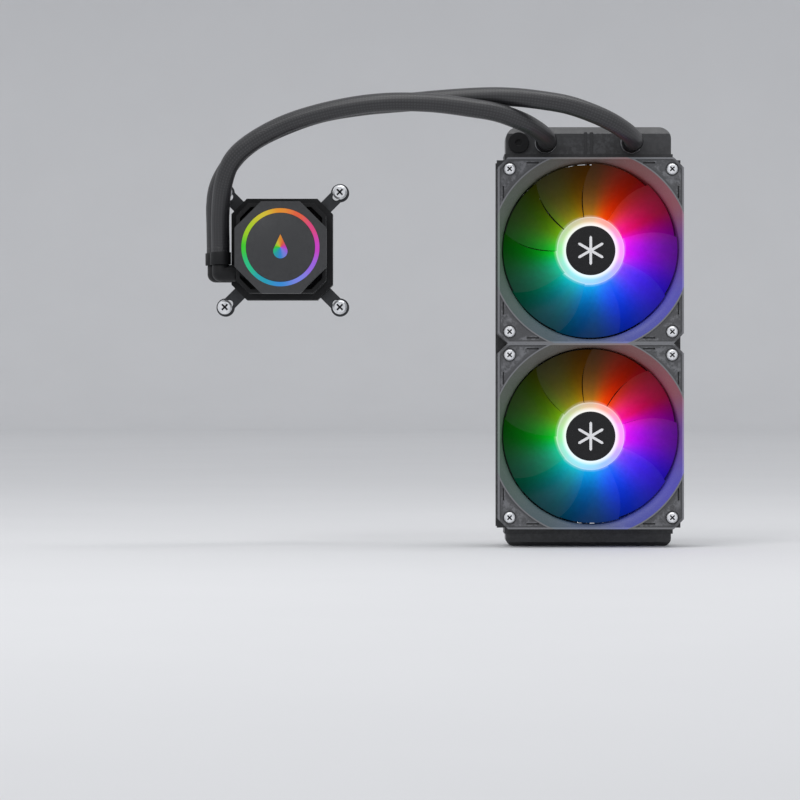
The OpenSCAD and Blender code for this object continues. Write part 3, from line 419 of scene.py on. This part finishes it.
def circuit(name, colour):
    """Solder mask over fibreglass: faint weave, raised tracks and a satin face."""
    f = Finish(name)
    weave = f.node("ShaderNodeTexChecker")
    f.link(f.place, weave.inputs["Vector"])
    weave.inputs["Scale"].default_value = 1 / mm(0.9)
    tracks = f.remap(f.noise(2.2, 1), 0, 1, source=(0.5, 0.53))
    tone = f.mix(weave.outputs["Fac"], shade(colour, 0.92), colour)
    return f.set(
        Base_Color=f.mix(tracks, tone, shade(colour, 1.35)), Roughness=f.remap(f.noise(3, 4), 0.3, 0.45),
        Normal=f.bump(tracks, 0.03),
    )


def milled_copper(name):
    """Machined copper with fine straight cutter marks and a brownish bloom of oxide."""
    f = Finish(name)
    cuts = f.noise(1000, 4, place=f.stretched((30, 100, 2500)))
    oxide = f.remap(f.noise(11, 6), 0, 0.7, source=(0.45, 0.75))
    return f.set(
        Base_Color=f.mix(oxide, (0.83, 0.42, 0.27), (0.47, 0.2, 0.12)), Metallic=1.0,
        Roughness=f.remap(cuts, 0.16, 0.36), Normal=f.bump(cuts, 0.03),
    )


def braided(name):
    """Woven polyester sleeve: two tones by strand, painted shade between strands, with fibres and a soft sheen.
    """
    f = Finish(name)
    strand = f.node("ShaderNodeAttribute", attribute_name="strand").outputs["Fac"]
    height = f.node("ShaderNodeAttribute", attribute_name="crown").outputs["Fac"]
    fibre = f.noise(0.22, 3)
    two = f.mix(strand, (0.009, 0.009, 0.0105), (0.03, 0.03, 0.033))
    # Painted shade: the low parts of the weave, between the strands, are darkened nearly to black.
    shade_with_depth = f.mix(f.remap(height, 0, 1, source=(0.35, 0.95)), (0.001, 0.001, 0.0015), two)
    tone = f.mix(f.remap(f.noise(25, 4), 0, 0.08), shade_with_depth, (0.06, 0.06, 0.066))
    return f.set(
        Base_Color=tone, Roughness=f.remap(fibre, 0.3, 0.46), Sheen_Weight=0.04, Sheen_Roughness=0.4,
        Normal=f.bump(fibre, 0.03), Specular_IOR_Level=0.6,
    )


# Light of a fan's lamps at LAMP_REACH millimetres from its axis, clockwise from the top. The warm and green
# ones are dimmer, and all of them fade with the power LAMP_FADE of the distance.
LAMP_REACH = 37.4
LAMP_FADE = 3.3
FAN_LAMPS = [
    (0.12, 0.042, 0.001), (0.46, 0.012, 0.0), (0.72, 0.002, 0.08), (0.32, 0.001, 0.92),
    (0.056, 0.015, 1.6), (0.006, 0.046, 1.3), (0.001, 0.1, 0.41), (0.001, 0.14, 0.185),
    (0.001, 0.155, 0.077), (0.001, 0.17, 0.005), (0.032, 0.094, 0.001), (0.064, 0.057, 0.001),
]
# Colours round the pump's ring, clockwise from the top, all about as bright
RING_LAMPS = [
    (0.86, 0.30, 0.02), (0.85, 0.12, 0.05), (0.80, 0.06, 0.25), (0.66, 0.05, 0.62), (0.36, 0.14, 0.86),
    (0.22, 0.26, 0.9), (0.03, 0.28, 0.75), (0.01, 0.38, 0.5), (0.01, 0.58, 0.26), (0.04, 0.66, 0.02),
    (0.42, 0.68, 0.01), (0.72, 0.60, 0.03),
]


def lamp_light(f, centre, lamps):
    """The lamps' colour at a point by its direction from the centre object, and its distance in metres."""
    place = f.node("ShaderNodeTexCoord", object=centre).outputs["Object"]
    axes = f.node("ShaderNodeSeparateXYZ")
    f.link(place, axes.inputs[0])
    x, z = axes.outputs["X"], axes.outputs["Z"]
    turn = f.math("FRACT", f.math("MULTIPLY", f.math("ARCTAN2", x, z), 1 / tau))
    ramp = f.node("ShaderNodeValToRGB")
    ramp.color_ramp.interpolation = "EASE"
    stops = ramp.color_ramp.elements
    stops[0].position, stops[1].position = 0, 1
    stops[0].color = stops[1].color = (*lamps[0], 1)
    for i, colour in enumerate(lamps[1:], 1):
        stops.new(i / len(lamps)).color = (*colour, 1)
    f.link(turn, ramp.inputs["Fac"])
    reach = f.math("SQRT", f.math("ADD", f.math("MULTIPLY", x, x), f.math("MULTIPLY", z, z)))
    return ramp.outputs["Color"], reach


def lamp_glow(f, centre):
    """A fan's lamps seen through the plastic: they fade outwards and stop short of clipping close by."""
    colour, reach = lamp_light(f, centre, FAN_LAMPS)
    fall = f.math("POWER", f.math("DIVIDE", mm(LAMP_REACH), reach), LAMP_FADE)
    channels = f.node("ShaderNodeSeparateColor")
    f.link(f.scaled(colour, fall), channels.inputs[0])
    limited = f.node("ShaderNodeCombineColor")
    for i in range(3):
        dark = f.math("EXPONENT", f.math("MULTIPLY", channels.outputs[i], -1))
        f.link(f.math("SUBTRACT", 1, dark), limited.inputs[i])
    return limited.outputs[0], reach


def lit_blades(name, centre):
    """Smoky clear plastic lit from the hub."""
    f = Finish(name)
    colour, reach = lamp_glow(f, centre)
    white = f.remap(reach, 0.2, 0, source=(mm(21.7), mm(23.4)))
    glow = f.mix(white, colour, (1.0, 1.0, 1.0))
    haze = f.remap(f.noise(3, 3), 0.94, 1.06)
    body = f.mix(f.remap(f.noise(8, 4), 0, 1), (0.003, 0.003, 0.004), (0.006, 0.006, 0.007))
    return f.set(
        Base_Color=body, Roughness=f.remap(f.noise(4, 4), 0.42, 0.55), Normal=f.bump(f.noise(0.6, 2), 0.01),
        Emission_Color=f.scaled(glow, haze), Emission_Strength=0.96, Specular_IOR_Level=0.07,
    )


def lit_ring(name, centre, strength=1.0):
    """Milky light guide with the lamps' colours all round."""
    f = Finish(name)
    colour, _ = lamp_light(f, centre, RING_LAMPS)
    milk = f.mix(f.remap(f.noise(3, 3), 0.0, 0.02), colour, (1.0, 1.0, 1.0))
    return f.set(
        Base_Color=(0.01, 0.01, 0.011, 1), Roughness=f.remap(f.noise(2, 3), 0.3, 0.45),
        Emission_Color=milk, Emission_Strength=0.82 * strength, Normal=f.bump(f.noise(0.5, 2), 0.01),
        Specular_IOR_Level=0.08,
    )


def lit_hub(name, centre):
    """The hub's milky rim: nearly white next to the cap, with a second pale line at its edge."""
    f = Finish(name)
    colour, reach = lamp_glow(f, centre)
    inner = f.remap(reach, 0.85, 0.3, source=(mm(16.8), mm(19)))
    outer = f.remap(reach, 0, 0.45, source=(mm(20.6), mm(21.4)))
    pale = f.mix(f.math("MAXIMUM", inner, outer), colour, (0.95, 0.97, 1.0))
    return f.set(
        Base_Color=(0.06, 0.06, 0.065, 1), Roughness=f.remap(f.noise(2, 3), 0.3, 0.45),
        Emission_Color=pale, Emission_Strength=1.0, Normal=f.bump(f.noise(0.5, 2), 0.01),
        Specular_IOR_Level=0.3,
    )


# The fan's frame in millimetres: its depth, half its side, and the radius where the throat's flare ends
FRAME_DEPTH, FRAME_HALF, FLARE_R = 25, 60, 64.2


def lit_frame(name, colour, centre):
    """The fan's frame: moulded plastic with the lamps' light painted on its flare as a faint glow, and a painted
    highlight along the flare's outer edge and the outer rim of its front face.
    """
    f = Finish(name)
    light, reach = lamp_light(f, centre, FAN_LAMPS)
    axes = f.node("ShaderNodeSeparateXYZ")
    f.link(f.node("ShaderNodeTexCoord", object=centre).outputs["Object"], axes.inputs[0])
    square = f.math("MAXIMUM", f.math("ABSOLUTE", axes.outputs["X"]), f.math("ABSOLUTE", axes.outputs["Z"]))
    front = f.remap(axes.outputs["Y"], 1, 0, source=(mm(0.1 - FRAME_DEPTH), mm(0.4 - FRAME_DEPTH)))
    outside = f.remap(reach, 0, 1, source=(mm(FLARE_R), mm(FLARE_R + 0.3)))
    inside = f.remap(reach, 1, 0, source=(mm(FLARE_R + 0.8), mm(FLARE_R + 1.2)))
    rim = f.remap(square, 0, 1, source=(mm(FRAME_HALF - 1.3), mm(FRAME_HALF - 1.05)))
    border = f.math("MAXIMUM", f.math("MULTIPLY", outside, inside), rim)
    # Painted highlight: a thin pale line on the front face, along the flare's outer edge and along the frame's
    # outer rim.
    lip = f.math("MULTIPLY", border, front)
    tone = f.mix(f.noise(16, 3), shade(colour, 0.88), shade(colour, 1.14))
    speck = f.mix(f.remap(f.noise(0.7, 3), 0, 0.4, source=(0.48, 0.72)), tone, shade(colour, 1.9))
    # The painted highlight of that line, mixed into the plastic's colour.
    rub_marks_and_highlight = f.mix(f.math("MULTIPLY", lip, 0.8), speck, shade(colour, 3.2))
    # Painted glow: the lamps' light on the flare, put in as emission and fainter further into the throat.
    flare = f.math("SUBTRACT", 1, outside)
    shade_with_depth = f.remap(axes.outputs["Y"], 1, 0.25, source=(mm(1.5 - FRAME_DEPTH), mm(8 - FRAME_DEPTH)))
    fine = f.bump(f.noise(0.45, 3), 0.06)
    return f.set(
        Base_Color=f.worn_edges(rub_marks_and_highlight, shade(colour, 2.6), 0.9), Roughness=f.remap(f.noise(9, 5), 0.42, 0.6),
        Normal=f.bump(f.noise(6, 2), 0.04, fine, 0.35),
        Emission_Color=f.scaled(light, f.math("MULTIPLY", flare, shade_with_depth)), Emission_Strength=0.2,
    )


def cross_headed(name, floor_y):
    """Bright steel heads with a recessed cross, darkened at its floor (floor_y) as painted shade."""
    f = Finish(name)
    axes = f.node("ShaderNodeSeparateXYZ")
    f.link(f.place, axes.inputs[0])
    # Painted shade: a band within 0.2 to 0.3 mm of the height of the cross's floor is darkened nearly to black.
    off = f.math("ABSOLUTE", f.math("SUBTRACT", axes.outputs["Y"], floor_y))
    recess_floor_shade = f.remap(off, 1, 0, source=(mm(0.2), mm(0.3)))
    tone = f.mix(f.remap(f.noise(2.5, 5), 0, 1), (0.66, 0.67, 0.69), (0.92, 0.93, 0.95))
    turned = f.noise(0.5, 3)
    return f.set(
        Base_Color=f.mix(recess_floor_shade, tone, (0.012, 0.012, 0.013)), Metallic=0.85,
        Roughness=f.remap(turned, 0.3, 0.46), Normal=f.bump(turned, 0.012),
    )


def printed_white(name):
    """White pad-printed ink, slightly uneven."""
    f = Finish(name)
    return f.set(
        Base_Color=f.mix(f.noise(0.8, 4), (0.72, 0.72, 0.73), (0.86, 0.86, 0.87)),
        Roughness=f.remap(f.noise(1.5, 3), 0.4, 0.55), Normal=f.bump(f.noise(0.3, 3), 0.01),
    )


# ---------------------------------------------------------------- hoses
BRAID_STRANDS = 20
BRAID_DEPTH = mm(0.5)
HOSE_R = mm(6)
FRONT_ROUTE = [
    (-30.5, 133.5, 57), (-38, 137.5, 70), (-46.5, 141, 79.5), (-61, 145.5, 86.5), (-76, 148, 89.5),
    (-104, 151.5, 90), (-133.5, 152, 87.5), (-162.5, 148.5, 82.5), (-192, 141, 76), (-214.5, 130.5, 71),
    (-229.5, 118.5, 66.5), (-236.5, 103.5, 59.5), (-239.3, 84, 48.5),
]
REAR_ROUTE = [
    (26.5, 132.5, 55.5), (20.5, 136, 67), (11, 141, 75), (-1, 146, 79.5), (-16.5, 151, 81.5),
    (-33.5, 154, 81.5), (-51, 156, 80.5), (-68.5, 156.5, 79), (-91.5, 155.5, 76.5), (-117, 153.5, 74),
    (-148, 151, 70.5), (-177.5, 146, 65.5), (-207.5, 135, 58.5), (-224.5, 124.5, 53.5),
    (-235, 112.5, 48.5), (-241, 101.5, 43), (-243.3, 90, 36.5), (-243.5, 77, 30.5),
]
# The radiator's right port, the x and z of the two elbows, and the height where their collars take the hoses
PORT = (28, 131.5, 28.15)
FRONT_ELBOW, REAR_ELBOW = (-239.5, 43), (-243.5, 27)
ELBOW_TOP = 51.15


def whole_route(side, middle, elbow):
    """Straight off the radiator's port, through the route's own points and straight onto the elbow."""
    start = [(side * PORT[0], PORT[1], PORT[2] + d) for d in (0, 6, 12.5, 15)]
    end = [(elbow[0], ELBOW_TOP + d, elbow[1]) for d in (12.5, 10, 4.5, 0)]
    return [board(*p) for p in [*start, *middle, *end]]


def braid(turn, along):
    """Height of a plain weave from 0 to 1 at an angle and a distance, and which set of strands is on top."""
    pitch = tau * HOSE_R / BRAID_STRANDS
    u = turn * BRAID_STRANDS / tau + along / pitch
    v = turn * BRAID_STRANDS / tau - along / pitch
    crown_u = np.sqrt(np.clip(1 - (2 * (u % 1) - 1) ** 2, 0, 1))
    crown_v = np.sqrt(np.clip(1 - (2 * (v % 1) - 1) ** 2, 0, 1))
    over_u = np.sin(pi * v) * (-1.0) ** np.floor(u)
    over_v = -np.sin(pi * u) * (-1.0) ** np.floor(v)
    first = 0.55 * crown_u + 0.45 * (0.5 + 0.5 * over_u)
    second = 0.55 * crown_v + 0.45 * (0.5 + 0.5 * over_v)
    return np.maximum(first, second), (first > second).astype(float)


def add_hose(name, route, material, replaced):
    """One hose with its weave as real relief."""
    line, along = even_line(smooth_line(route, 24), mm(0.42))
    around = 5 * BRAID_STRANDS
    turn = np.arange(around) * tau / around
    height, strand = braid(turn[None, :], along[:, None])
    points = tube_points(line, HOSE_R - BRAID_DEPTH * (1 - height), around)
    hose = add_mesh(name, points, tube_faces(len(line), around), material, sharp=80)
    for key, values in (("strand", strand), ("crown", height)):
        attribute = hose.data.attributes.new(key, "FLOAT", "POINT")
        attribute.data.foreach_set("value", values.ravel().astype(np.float32))
    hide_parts(*replaced)
    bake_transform(hose)


def add_hoses():
    woven = braided("braided_sleeve")
    add_hose("front_hose", whole_route(-1, FRONT_ROUTE, FRONT_ELBOW), woven,
             ["front_hose_sleeve", "front_hose_tube"])
    add_hose("rear_hose", whole_route(1, REAR_ROUTE, REAR_ELBOW), woven,
             ["rear_hose_sleeve", "rear_hose_tube"])


# ---------------------------------------------------------------- fans
# Millimetres, with heights from the fan's back
STAR_REACH, STAR_ARM = 9.5, 1.7
HUB_R = 21.8
CAP_R = 16
# A turned disc stops this short of its axis, so that no face there is a bare point
AXIS_R = 0.001
HUB_LOW, HUB_HIGH = 4.6, 22.6
HUB_WALL = 1.5
HUB_BORE = 2.2
BLADES = 9
BLADE_ROOT_R, BLADE_TIP_R = 21.05, 56.2
BLADE_CHORD_ROOT, BLADE_CHORD_TIP = 20, 44
BLADE_LEAN_ROOT, BLADE_LEAN_TIP = 42, 22
BLADE_SWEEP = -12
BLADE_CAMBER = 2
BLADE_T = 1.6
BLADE_MID = 13.3
BLADE_STEPS = 22


def blade_point(u, v, face):
    """A point of one blade in millimetres: u from root to tip, v across, face +1 in front and -1 behind."""
    r = BLADE_ROOT_R + (BLADE_TIP_R - BLADE_ROOT_R) * u
    chord = BLADE_CHORD_ROOT + (BLADE_CHORD_TIP - BLADE_CHORD_ROOT) * u
    lean = radians(BLADE_LEAN_ROOT + (BLADE_LEAN_TIP - BLADE_LEAN_ROOT) * u)
    s = chord * (v - 0.5)
    camber = BLADE_CAMBER * (1 - 4 * (v - 0.5) ** 2)
    across = camber + face * BLADE_T / 2 * (0.3 + 0.7 * sin(pi * v))
    along = s * cos(lean) - across * sin(lean)
    up = s * sin(lean) + across * cos(lean)
    return r, radians(BLADE_SWEEP * u * u) + along / r, BLADE_MID + up


def fan_blade(turn):
    """Points and faces of one blade turned about the fan's axis, thinner at its two edges than at its middle."""
    points = []
    span = np.linspace(0, 1, BLADE_STEPS)
    loop = [(v, 1) for v in span] + [(v, -1) for v in span[::-1]]
    for u in span:
        for v, face in loop:
            r, angle, z = blade_point(u, v, face)
            a = angle + turn
            points.append((mm(r * cos(a)), -mm(z), mm(r * sin(a))))
    return points, tube_faces(BLADE_STEPS, len(loop))


def hub_shell():
    """The hub's cup: a rounded outer rim, a raised lip round the cap and a hollow behind."""
    seat = HUB_HIGH - 0.8
    under = HUB_HIGH - 1.6
    outline = [
        (HUB_R, HUB_LOW), (HUB_R, HUB_HIGH - 1.2), (HUB_R - 0.3, HUB_HIGH - 0.5),
        (HUB_R - 0.9, HUB_HIGH - 0.25), (HUB_R - 1.4, HUB_HIGH - 0.6), (CAP_R + 2.8, HUB_HIGH - 0.6),
        (CAP_R + 2.2, HUB_HIGH - 0.1), (CAP_R + 1, HUB_HIGH), (CAP_R + 0.15, HUB_HIGH - 0.15),
        (CAP_R + 0.05, seat), (HUB_BORE, seat), (HUB_BORE, under), (HUB_R - HUB_WALL - 0.1, under),
        (HUB_R - HUB_WALL, HUB_LOW),
    ]
    return lathe([(mm(r), mm(z)) for r, z in outline], 128)


def star_outline(reach, width, arms=6):
    """A plain star of straight arms with pointed tips."""
    points = []
    inner = width / 2 / sin(pi / arms)
    for i in range(arms):
        a = i * tau / arms
        along, across = np.array((sin(a), cos(a))), np.array((cos(a), -sin(a)))
        points.append(along * (reach - width * 0.6) - across * width / 2)
        points.append(along * reach)
        points.append(along * (reach - width * 0.6) + across * width / 2)
        b = a + pi / arms
        points.append(np.array((sin(b), cos(b))) * inner)
    return [(mm(x), mm(z)) for x, z in points]


def cap_face():
    """The cap: a slightly domed disc with a rounded edge."""
    low, high = HUB_HIGH - 0.8, HUB_HIGH + 0.2
    outline = [
        (AXIS_R, low), (CAP_R, low), (CAP_R, high - 0.6), (CAP_R - 0.12, high - 0.3),
        (CAP_R - 0.4, high - 0.1), (CAP_R - 0.9, high - 0.02), (CAP_R - 3, high), (AXIS_R, high),
    ]
    return lathe([(mm(r), mm(z)) for r, z in outline], 96)


def add_fan(side, cap_black, white):
    """Blades, hub, cap and emblem of one fan. The lamps' colours stay still while the rotor turns."""
    centre = FAN_CENTRE[side].copy()
    centre.y = FAN_BACK
    body = f"{side}_fan_rotor"
    still = bpy.data.objects.new(f"{side}_fan_centre", None)
    still.location = centre
    bpy.context.scene.collection.objects.link(still)
    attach(still, "cooler")
    frame_finish = lit_frame(f"{side}_fan_frame_plastic", (0.06, 0.061, 0.065), still)
    NODES[f"{side}_fan_frame"].data.materials[0] = frame_finish
    points, faces = joined(*[fan_blade(i * tau / BLADES) for i in range(BLADES)])
    blades = add_mesh(f"{side}_fan_blades", points, faces, lit_blades(f"{side}_lit_blades", still), centre)
    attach(blades, body)
    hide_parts(f"{side}_fan_impeller")
    hub = add_mesh(f"{side}_fan_hub", *hub_shell(), lit_hub(f"{side}_lit_hub", still), centre, sharp=50)
    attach(hub, body)
    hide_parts(f"{side}_fan_impeller")
    cap = add_mesh(f"{side}_fan_cap_disc", *cap_face(), cap_black, centre)
    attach(cap, body)
    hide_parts(f"{side}_fan_cap")
    relief = prism(star_outline(STAR_REACH, STAR_ARM), mm(HUB_HIGH + 0.15), mm(HUB_HIGH + 0.45))
    star = add_mesh(f"{side}_fan_cap_star", *relief, white, centre, sharp=20)
    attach(star, body)


# ---------------------------------------------------------------- radiator core
FIN_STRIPS = 12
FIN_PITCH = mm(1.3)
FIN_POINTS = 10
FIN_SHEET = mm(0.12)
TUBE_T = mm(2)


def add_fins(material):
    """Finely folded strips between the flat tubes, the full depth of the core.

    The folds lean by two pitches from back to front. That hides what lies behind, as a real fin's louvres do.
    """
    low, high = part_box("fin_strips")
    tube_pitch = (high.x - low.x + TUBE_T) / FIN_STRIPS
    width = tube_pitch - TUBE_T
    margin = FIN_PITCH + mm(0.5)
    folds = int((high.z - low.z - 2 * margin) / FIN_PITCH)
    phase = np.arange(folds * FIN_POINTS + 1) / FIN_POINTS
    wave = np.arcsin(0.97 * np.sin(tau * phase)) / asin(0.97)
    z = low.z + margin + phase * (high.z - low.z - 2 * margin) / folds
    count = len(z)
    # Half the sheet's thickness measured up the core
    half_sheet = FIN_SHEET / 2 * sqrt(1 + (2 * width / FIN_PITCH) ** 2) * 0.35
    front, back = -FIN_PITCH, FIN_PITCH
    corners = (
        (low.y, front + half_sheet), (high.y, back + half_sheet),
        (high.y, back - half_sheet), (low.y, front - half_sheet),
    )
    parts = []
    for strip in range(FIN_STRIPS):
        mid = low.x + strip * tube_pitch + width / 2
        x = mid + wave * (width / 2 - FIN_SHEET)
        points = np.stack([np.stack([x, np.full(count, y), z + dz], 1) for y, dz in corners], 1)
        parts.append((points.reshape(-1, 3), tube_faces(count, 4)))
    points, faces = joined(*parts)
    fins = add_mesh("folded_fins", points, faces, material, sharp=50)
    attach(fins, "cooler")
    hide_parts("fin_strips")


# ---------------------------------------------------------------- pump head
# The emblem on the pump's face, in millimetres: belly radius, height of the tip above the belly's middle,
# and how far that middle lies below the ring's
DROP_R, DROP_TIP, DROP_LOWER = 4.6, 11, 2.6


def drop_outline(r, tip):
    """A plain drop: a round belly with straight flanks up to a point."""
    flank = asin(r / tip)
    arc = [pi / 2 - flank + i * (pi + 2 * flank) / 40 for i in range(41)]
    belly = [(r * sin(a), r * cos(a)) for a in arc]
    return [(0, tip)] + belly


def add_pump_face(cover):
    """The disc inside the light ring, its emblem, and the ring's own light."""
    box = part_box("pump_face_disc")
    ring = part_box("pump_light_guide")
    centre = Vector((PUMP_X, 0, PUMP_Z))
    still = bpy.data.objects.new("pump_centre", None)
    still.location = (PUMP_X, ring[0].y, PUMP_Z)
    bpy.context.scene.collection.objects.link(still)
    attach(still, "cooler")
    r = (box[1].x - box[0].x) / 2 - mm(0.05)
    back, front = -box[1].y, -PUMP_BOX[0].y
    outline = [
        (mm(AXIS_R), back), (r, back), (r, front - mm(0.5)), (r - mm(0.12), front - mm(0.18)),
        (r - mm(0.4), front), (mm(AXIS_R), front),
    ]
    disc = add_mesh("pump_face_plate", *lathe(outline, 128), cover, centre, sharp=50)
    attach(disc, "cooler")
    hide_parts("pump_face_disc")
    shape = [(mm(x), mm(z - DROP_LOWER)) for x, z in drop_outline(DROP_R, DROP_TIP)]
    relief = prism(shape, front - mm(0.1), -box[0].y)
    drop = add_mesh("pump_drop_emblem", *relief, lit_ring("lit_drop", still, 0.9), centre, sharp=30)
    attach(drop, "cooler")
    NODES["pump_light_guide"].data.materials[0] = lit_ring("lit_guide", still)


def add_springs(material):
    """Coil springs under the four bracket screws, with closed ends."""
    low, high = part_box("bracket_springs")
    wire, coil_r, turns = mm(0.5), mm(2.9), 4
    # Each closed end takes this share of the wire, and the whole coil climbs this share of its rise evenly
    closed, creep = 0.12, 0.06
    base, rise = high.y - wire, high.y - low.y - 2 * wire
    half_x = (high.x - low.x) / 2 - coil_r - wire
    half_z = (high.z - low.z) / 2 - coil_r - wire
    parts = []
    for sx in (-1, 1):
        for sz in (-1, 1):
            t = np.linspace(0, 1, turns * 28 + 1)
            up = np.clip((t - closed) / (1 - 2 * closed), 0, 1)
            line = np.stack([
                PUMP_X + sx * half_x + coil_r * np.cos(t * turns * tau),
                base - rise * (creep * t + (1 - creep) * up),
                PUMP_Z + sz * half_z + coil_r * np.sin(t * turns * tau),
            ], 1)
            parts.append((tube_points(line, wire, 10), tube_faces(len(line), 10)))
    springs = add_mesh("coil_springs", *joined(*parts), material, sharp=60)
    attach(springs, "cooler")
    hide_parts("bracket_springs")


# ---------------------------------------------------------------- finishes of the CAD nodes
def finish_nodes():
    """Gives every CAD node the finish of its slot, and returns the finishes that other pieces share."""
    plastic = moulded("fan_frame_plastic", (0.062, 0.063, 0.067), grain=0.6, depth=0.05, vary=0.15, wear=1.5)
    black = moulded("black_plastic", (0.006, 0.0062, 0.007), rough=(0.4, 0.55), shine=0.26)
    cover = moulded(
        "cover_plastic", (0.034, 0.035, 0.037), rough=(0.48, 0.62), grain=0.22, depth=0.012,
        vary=0.1, shine=0.4,
    )
    paint = painted("tank_paint", (0.03, 0.0305, 0.0325))
    sheet = painted("channel_paint", (0.018, 0.0185, 0.02), brushed=(1500, 300, 20))
    fin = painted("fin_paint", (0.02, 0.0205, 0.022), rough=(0.4, 0.6))
    aluminium = metal("bare_aluminium", (0.72, 0.73, 0.75), rough=(0.28, 0.42))
    steel = metal("bright_steel", (0.78, 0.79, 0.81), rough=(0.14, 0.26))
    bracket = metal("plated_bracket", (0.07, 0.072, 0.076), rough=(0.34, 0.5), stretch=(1200, 120, 120))
    rubber = rubbery("rubber", (0.010, 0.010, 0.011))
    cream = moulded("cream_plastic", (0.72, 0.68, 0.58), vary=0.06, wear=1.05)
    ceramic = moulded("ceramic", (0.82, 0.81, 0.77), rough=(0.12, 0.2), depth=0.004, vary=0.03, wear=1.02)
    magnet = moulded("ferrite", (0.05, 0.051, 0.055), rough=(0.45, 0.65), grain=0.15)
    bronze = metal("sintered_bronze", (0.55, 0.38, 0.2), rough=(0.35, 0.5))
    core = laminated("electrical_steel", (0.36, 0.37, 0.39))
    copper_wire = wound("copper_wire", (0.78, 0.34, 0.15))
    white_board = circuit("white_board", (0.72, 0.71, 0.68))
    green_board = circuit("green_board", (0.02, 0.13, 0.06))
    copper = milled_copper("milled_copper")
    by_slot = {
        "fan_plastic": plastic, "black_plastic": black, "cover_plastic": cover, "clear_plastic": cream,
        "cream_plastic": cream, "cap_black": black, "black_paint": sheet, "fin_paint": fin,
        "bare_aluminium": aluminium, "steel": steel, "bracket_steel": bracket, "electrical_steel": core,
        "copper": copper, "copper_wire": copper_wire, "bronze": bronze, "magnet": magnet, "ceramic": ceramic,
        "board": white_board, "green_board": green_board, "rubber": rubber, "braid": rubber,
    }
    for part in frame["record"]["subparts"]:
        mesh = NODES[part["node"]].data
        mesh.materials.clear()
        mesh.materials.append(by_slot[part["material_slot"]])
    for node in ("upper_tank", "lower_tank"):
        NODES[node].data.materials[0] = paint
    for node, recess_depth in (("fan_screws", 1.21), ("bracket_screws", 1.65)):
        floor_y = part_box(node)[0].y + mm(recess_depth)
        NODES[node].data.materials[0] = cross_headed(f"{node}_steel", floor_y)
    return {"black": black, "cover": cover, "fin": fin, "steel": steel}


# Rounding of the edges of the CAD nodes that stay in view, in millimetres
SOFT_EDGES = {
    "upper_fan_frame": 0.3, "lower_fan_frame": 0.3, "upper_tank": 0.5, "lower_tank": 0.5,
    "upper_header_plate": 0.25, "lower_header_plate": 0.25,
    "left_side_channel": 0.25, "right_side_channel": 0.25,
    "port_stubs": 0.2, "fill_plug": 0.3, "fan_screws": 0.15, "radiator_hose_collars": 0.25,
    "front_elbow": 0.3, "front_elbow_collar": 0.25, "rear_elbow": 0.3, "rear_elbow_collar": 0.25,
    "cold_plate": 0.2, "cold_plate_screws": 0.12, "mounting_bracket": 0.2, "bracket_screws": 0.2,
    "pump_base": 0.4, "pump_housing": 0.5, "pump_light_guide": 0.15, "pump_cover": 0.6,
}


# ---------------------------------------------------------------- studio
def add_floor():
    """A pale floor that curves up into a backdrop, far enough behind to stay out of every view's way."""
    low = CAD_BOX[0].z
    near, far, bend, top, half = -9.0, 9.0, 1.5, 6.0, 12.0
    turn = np.linspace(0, pi / 2, 24)[1:]
    curve = [(far - bend + bend * sin(a), low + bend - bend * cos(a)) for a in turn]
    outline = [(near, low), (far - bend, low), *curve, (far, low + top)]
    points = [(x, y, z) for y, z in outline for x in (-half, half)]
    faces = [[2 * i, 2 * i + 1, 2 * i + 3, 2 * i + 2] for i in range(len(outline) - 1)]
    f = Finish("studio_paper")
    f.set(Base_Color=f.mix(f.noise(300, 3), (0.66, 0.665, 0.675), (0.7, 0.705, 0.715)), Roughness=0.85)
    add_mesh("studio_floor", points, faces, f.material, sharp=60)


def add_light(name, place, target, size, power, colour=(1, 1, 1)):
    """A rectangular light at place that faces target, with its size in metres and its power in watts."""
    data = bpy.data.lights.new(name, "AREA")
    data.shape = "RECTANGLE"
    data.size, data.size_y = size
    data.energy = power
    data.color = colour
    light = bpy.data.objects.new(name, data)
    light.location = place
    light.rotation_euler = (Vector(target) - Vector(place)).to_track_quat("-Z", "Y").to_euler()
    bpy.context.scene.collection.objects.link(light)


def add_studio():
    """Soft even light from the room, with a key, a weak fill and a long light above for the hoses."""
    world = bpy.data.worlds.new("studio")
    world.use_nodes = True
    sky = world.node_tree.nodes["Background"]
    sky.inputs["Color"].default_value = (0.96, 0.97, 1.0, 1)
    sky.inputs["Strength"].default_value = 0.8
    scene = bpy.context.scene
    scene.world = world
    scene.view_settings.view_transform = "Standard"
    middle = (-0.1, 0, 0)
    add_light("key", (-0.7, -1.1, 1.2), middle, (0.7, 0.7), 5)
    add_light("fill", (1.1, -1.5, 0.3), middle, (0.8, 1.2), 1.2, (0.95, 0.97, 1))
    add_light("top", (0.0, -0.25, 1.3), middle, (1.4, 0.3), 6)


# ---------------------------------------------------------------- the whole cooler
add_camera()
add_hoses()
finishes = finish_nodes()
for node, width in SOFT_EDGES.items():
    soften_edges(node, width)
cap_black = moulded("cap_black", (0.006, 0.006, 0.007), rough=(0.28, 0.4), grain=0.3, depth=0.006, shine=0.3)
white_ink = printed_white("white_ink")
for side in ("upper", "lower"):
    add_fan(side, cap_black, white_ink)
add_fins(finishes["fin"])
add_pump_face(finishes["cover"])
add_springs(finishes["steel"])
add_floor()
add_studio()
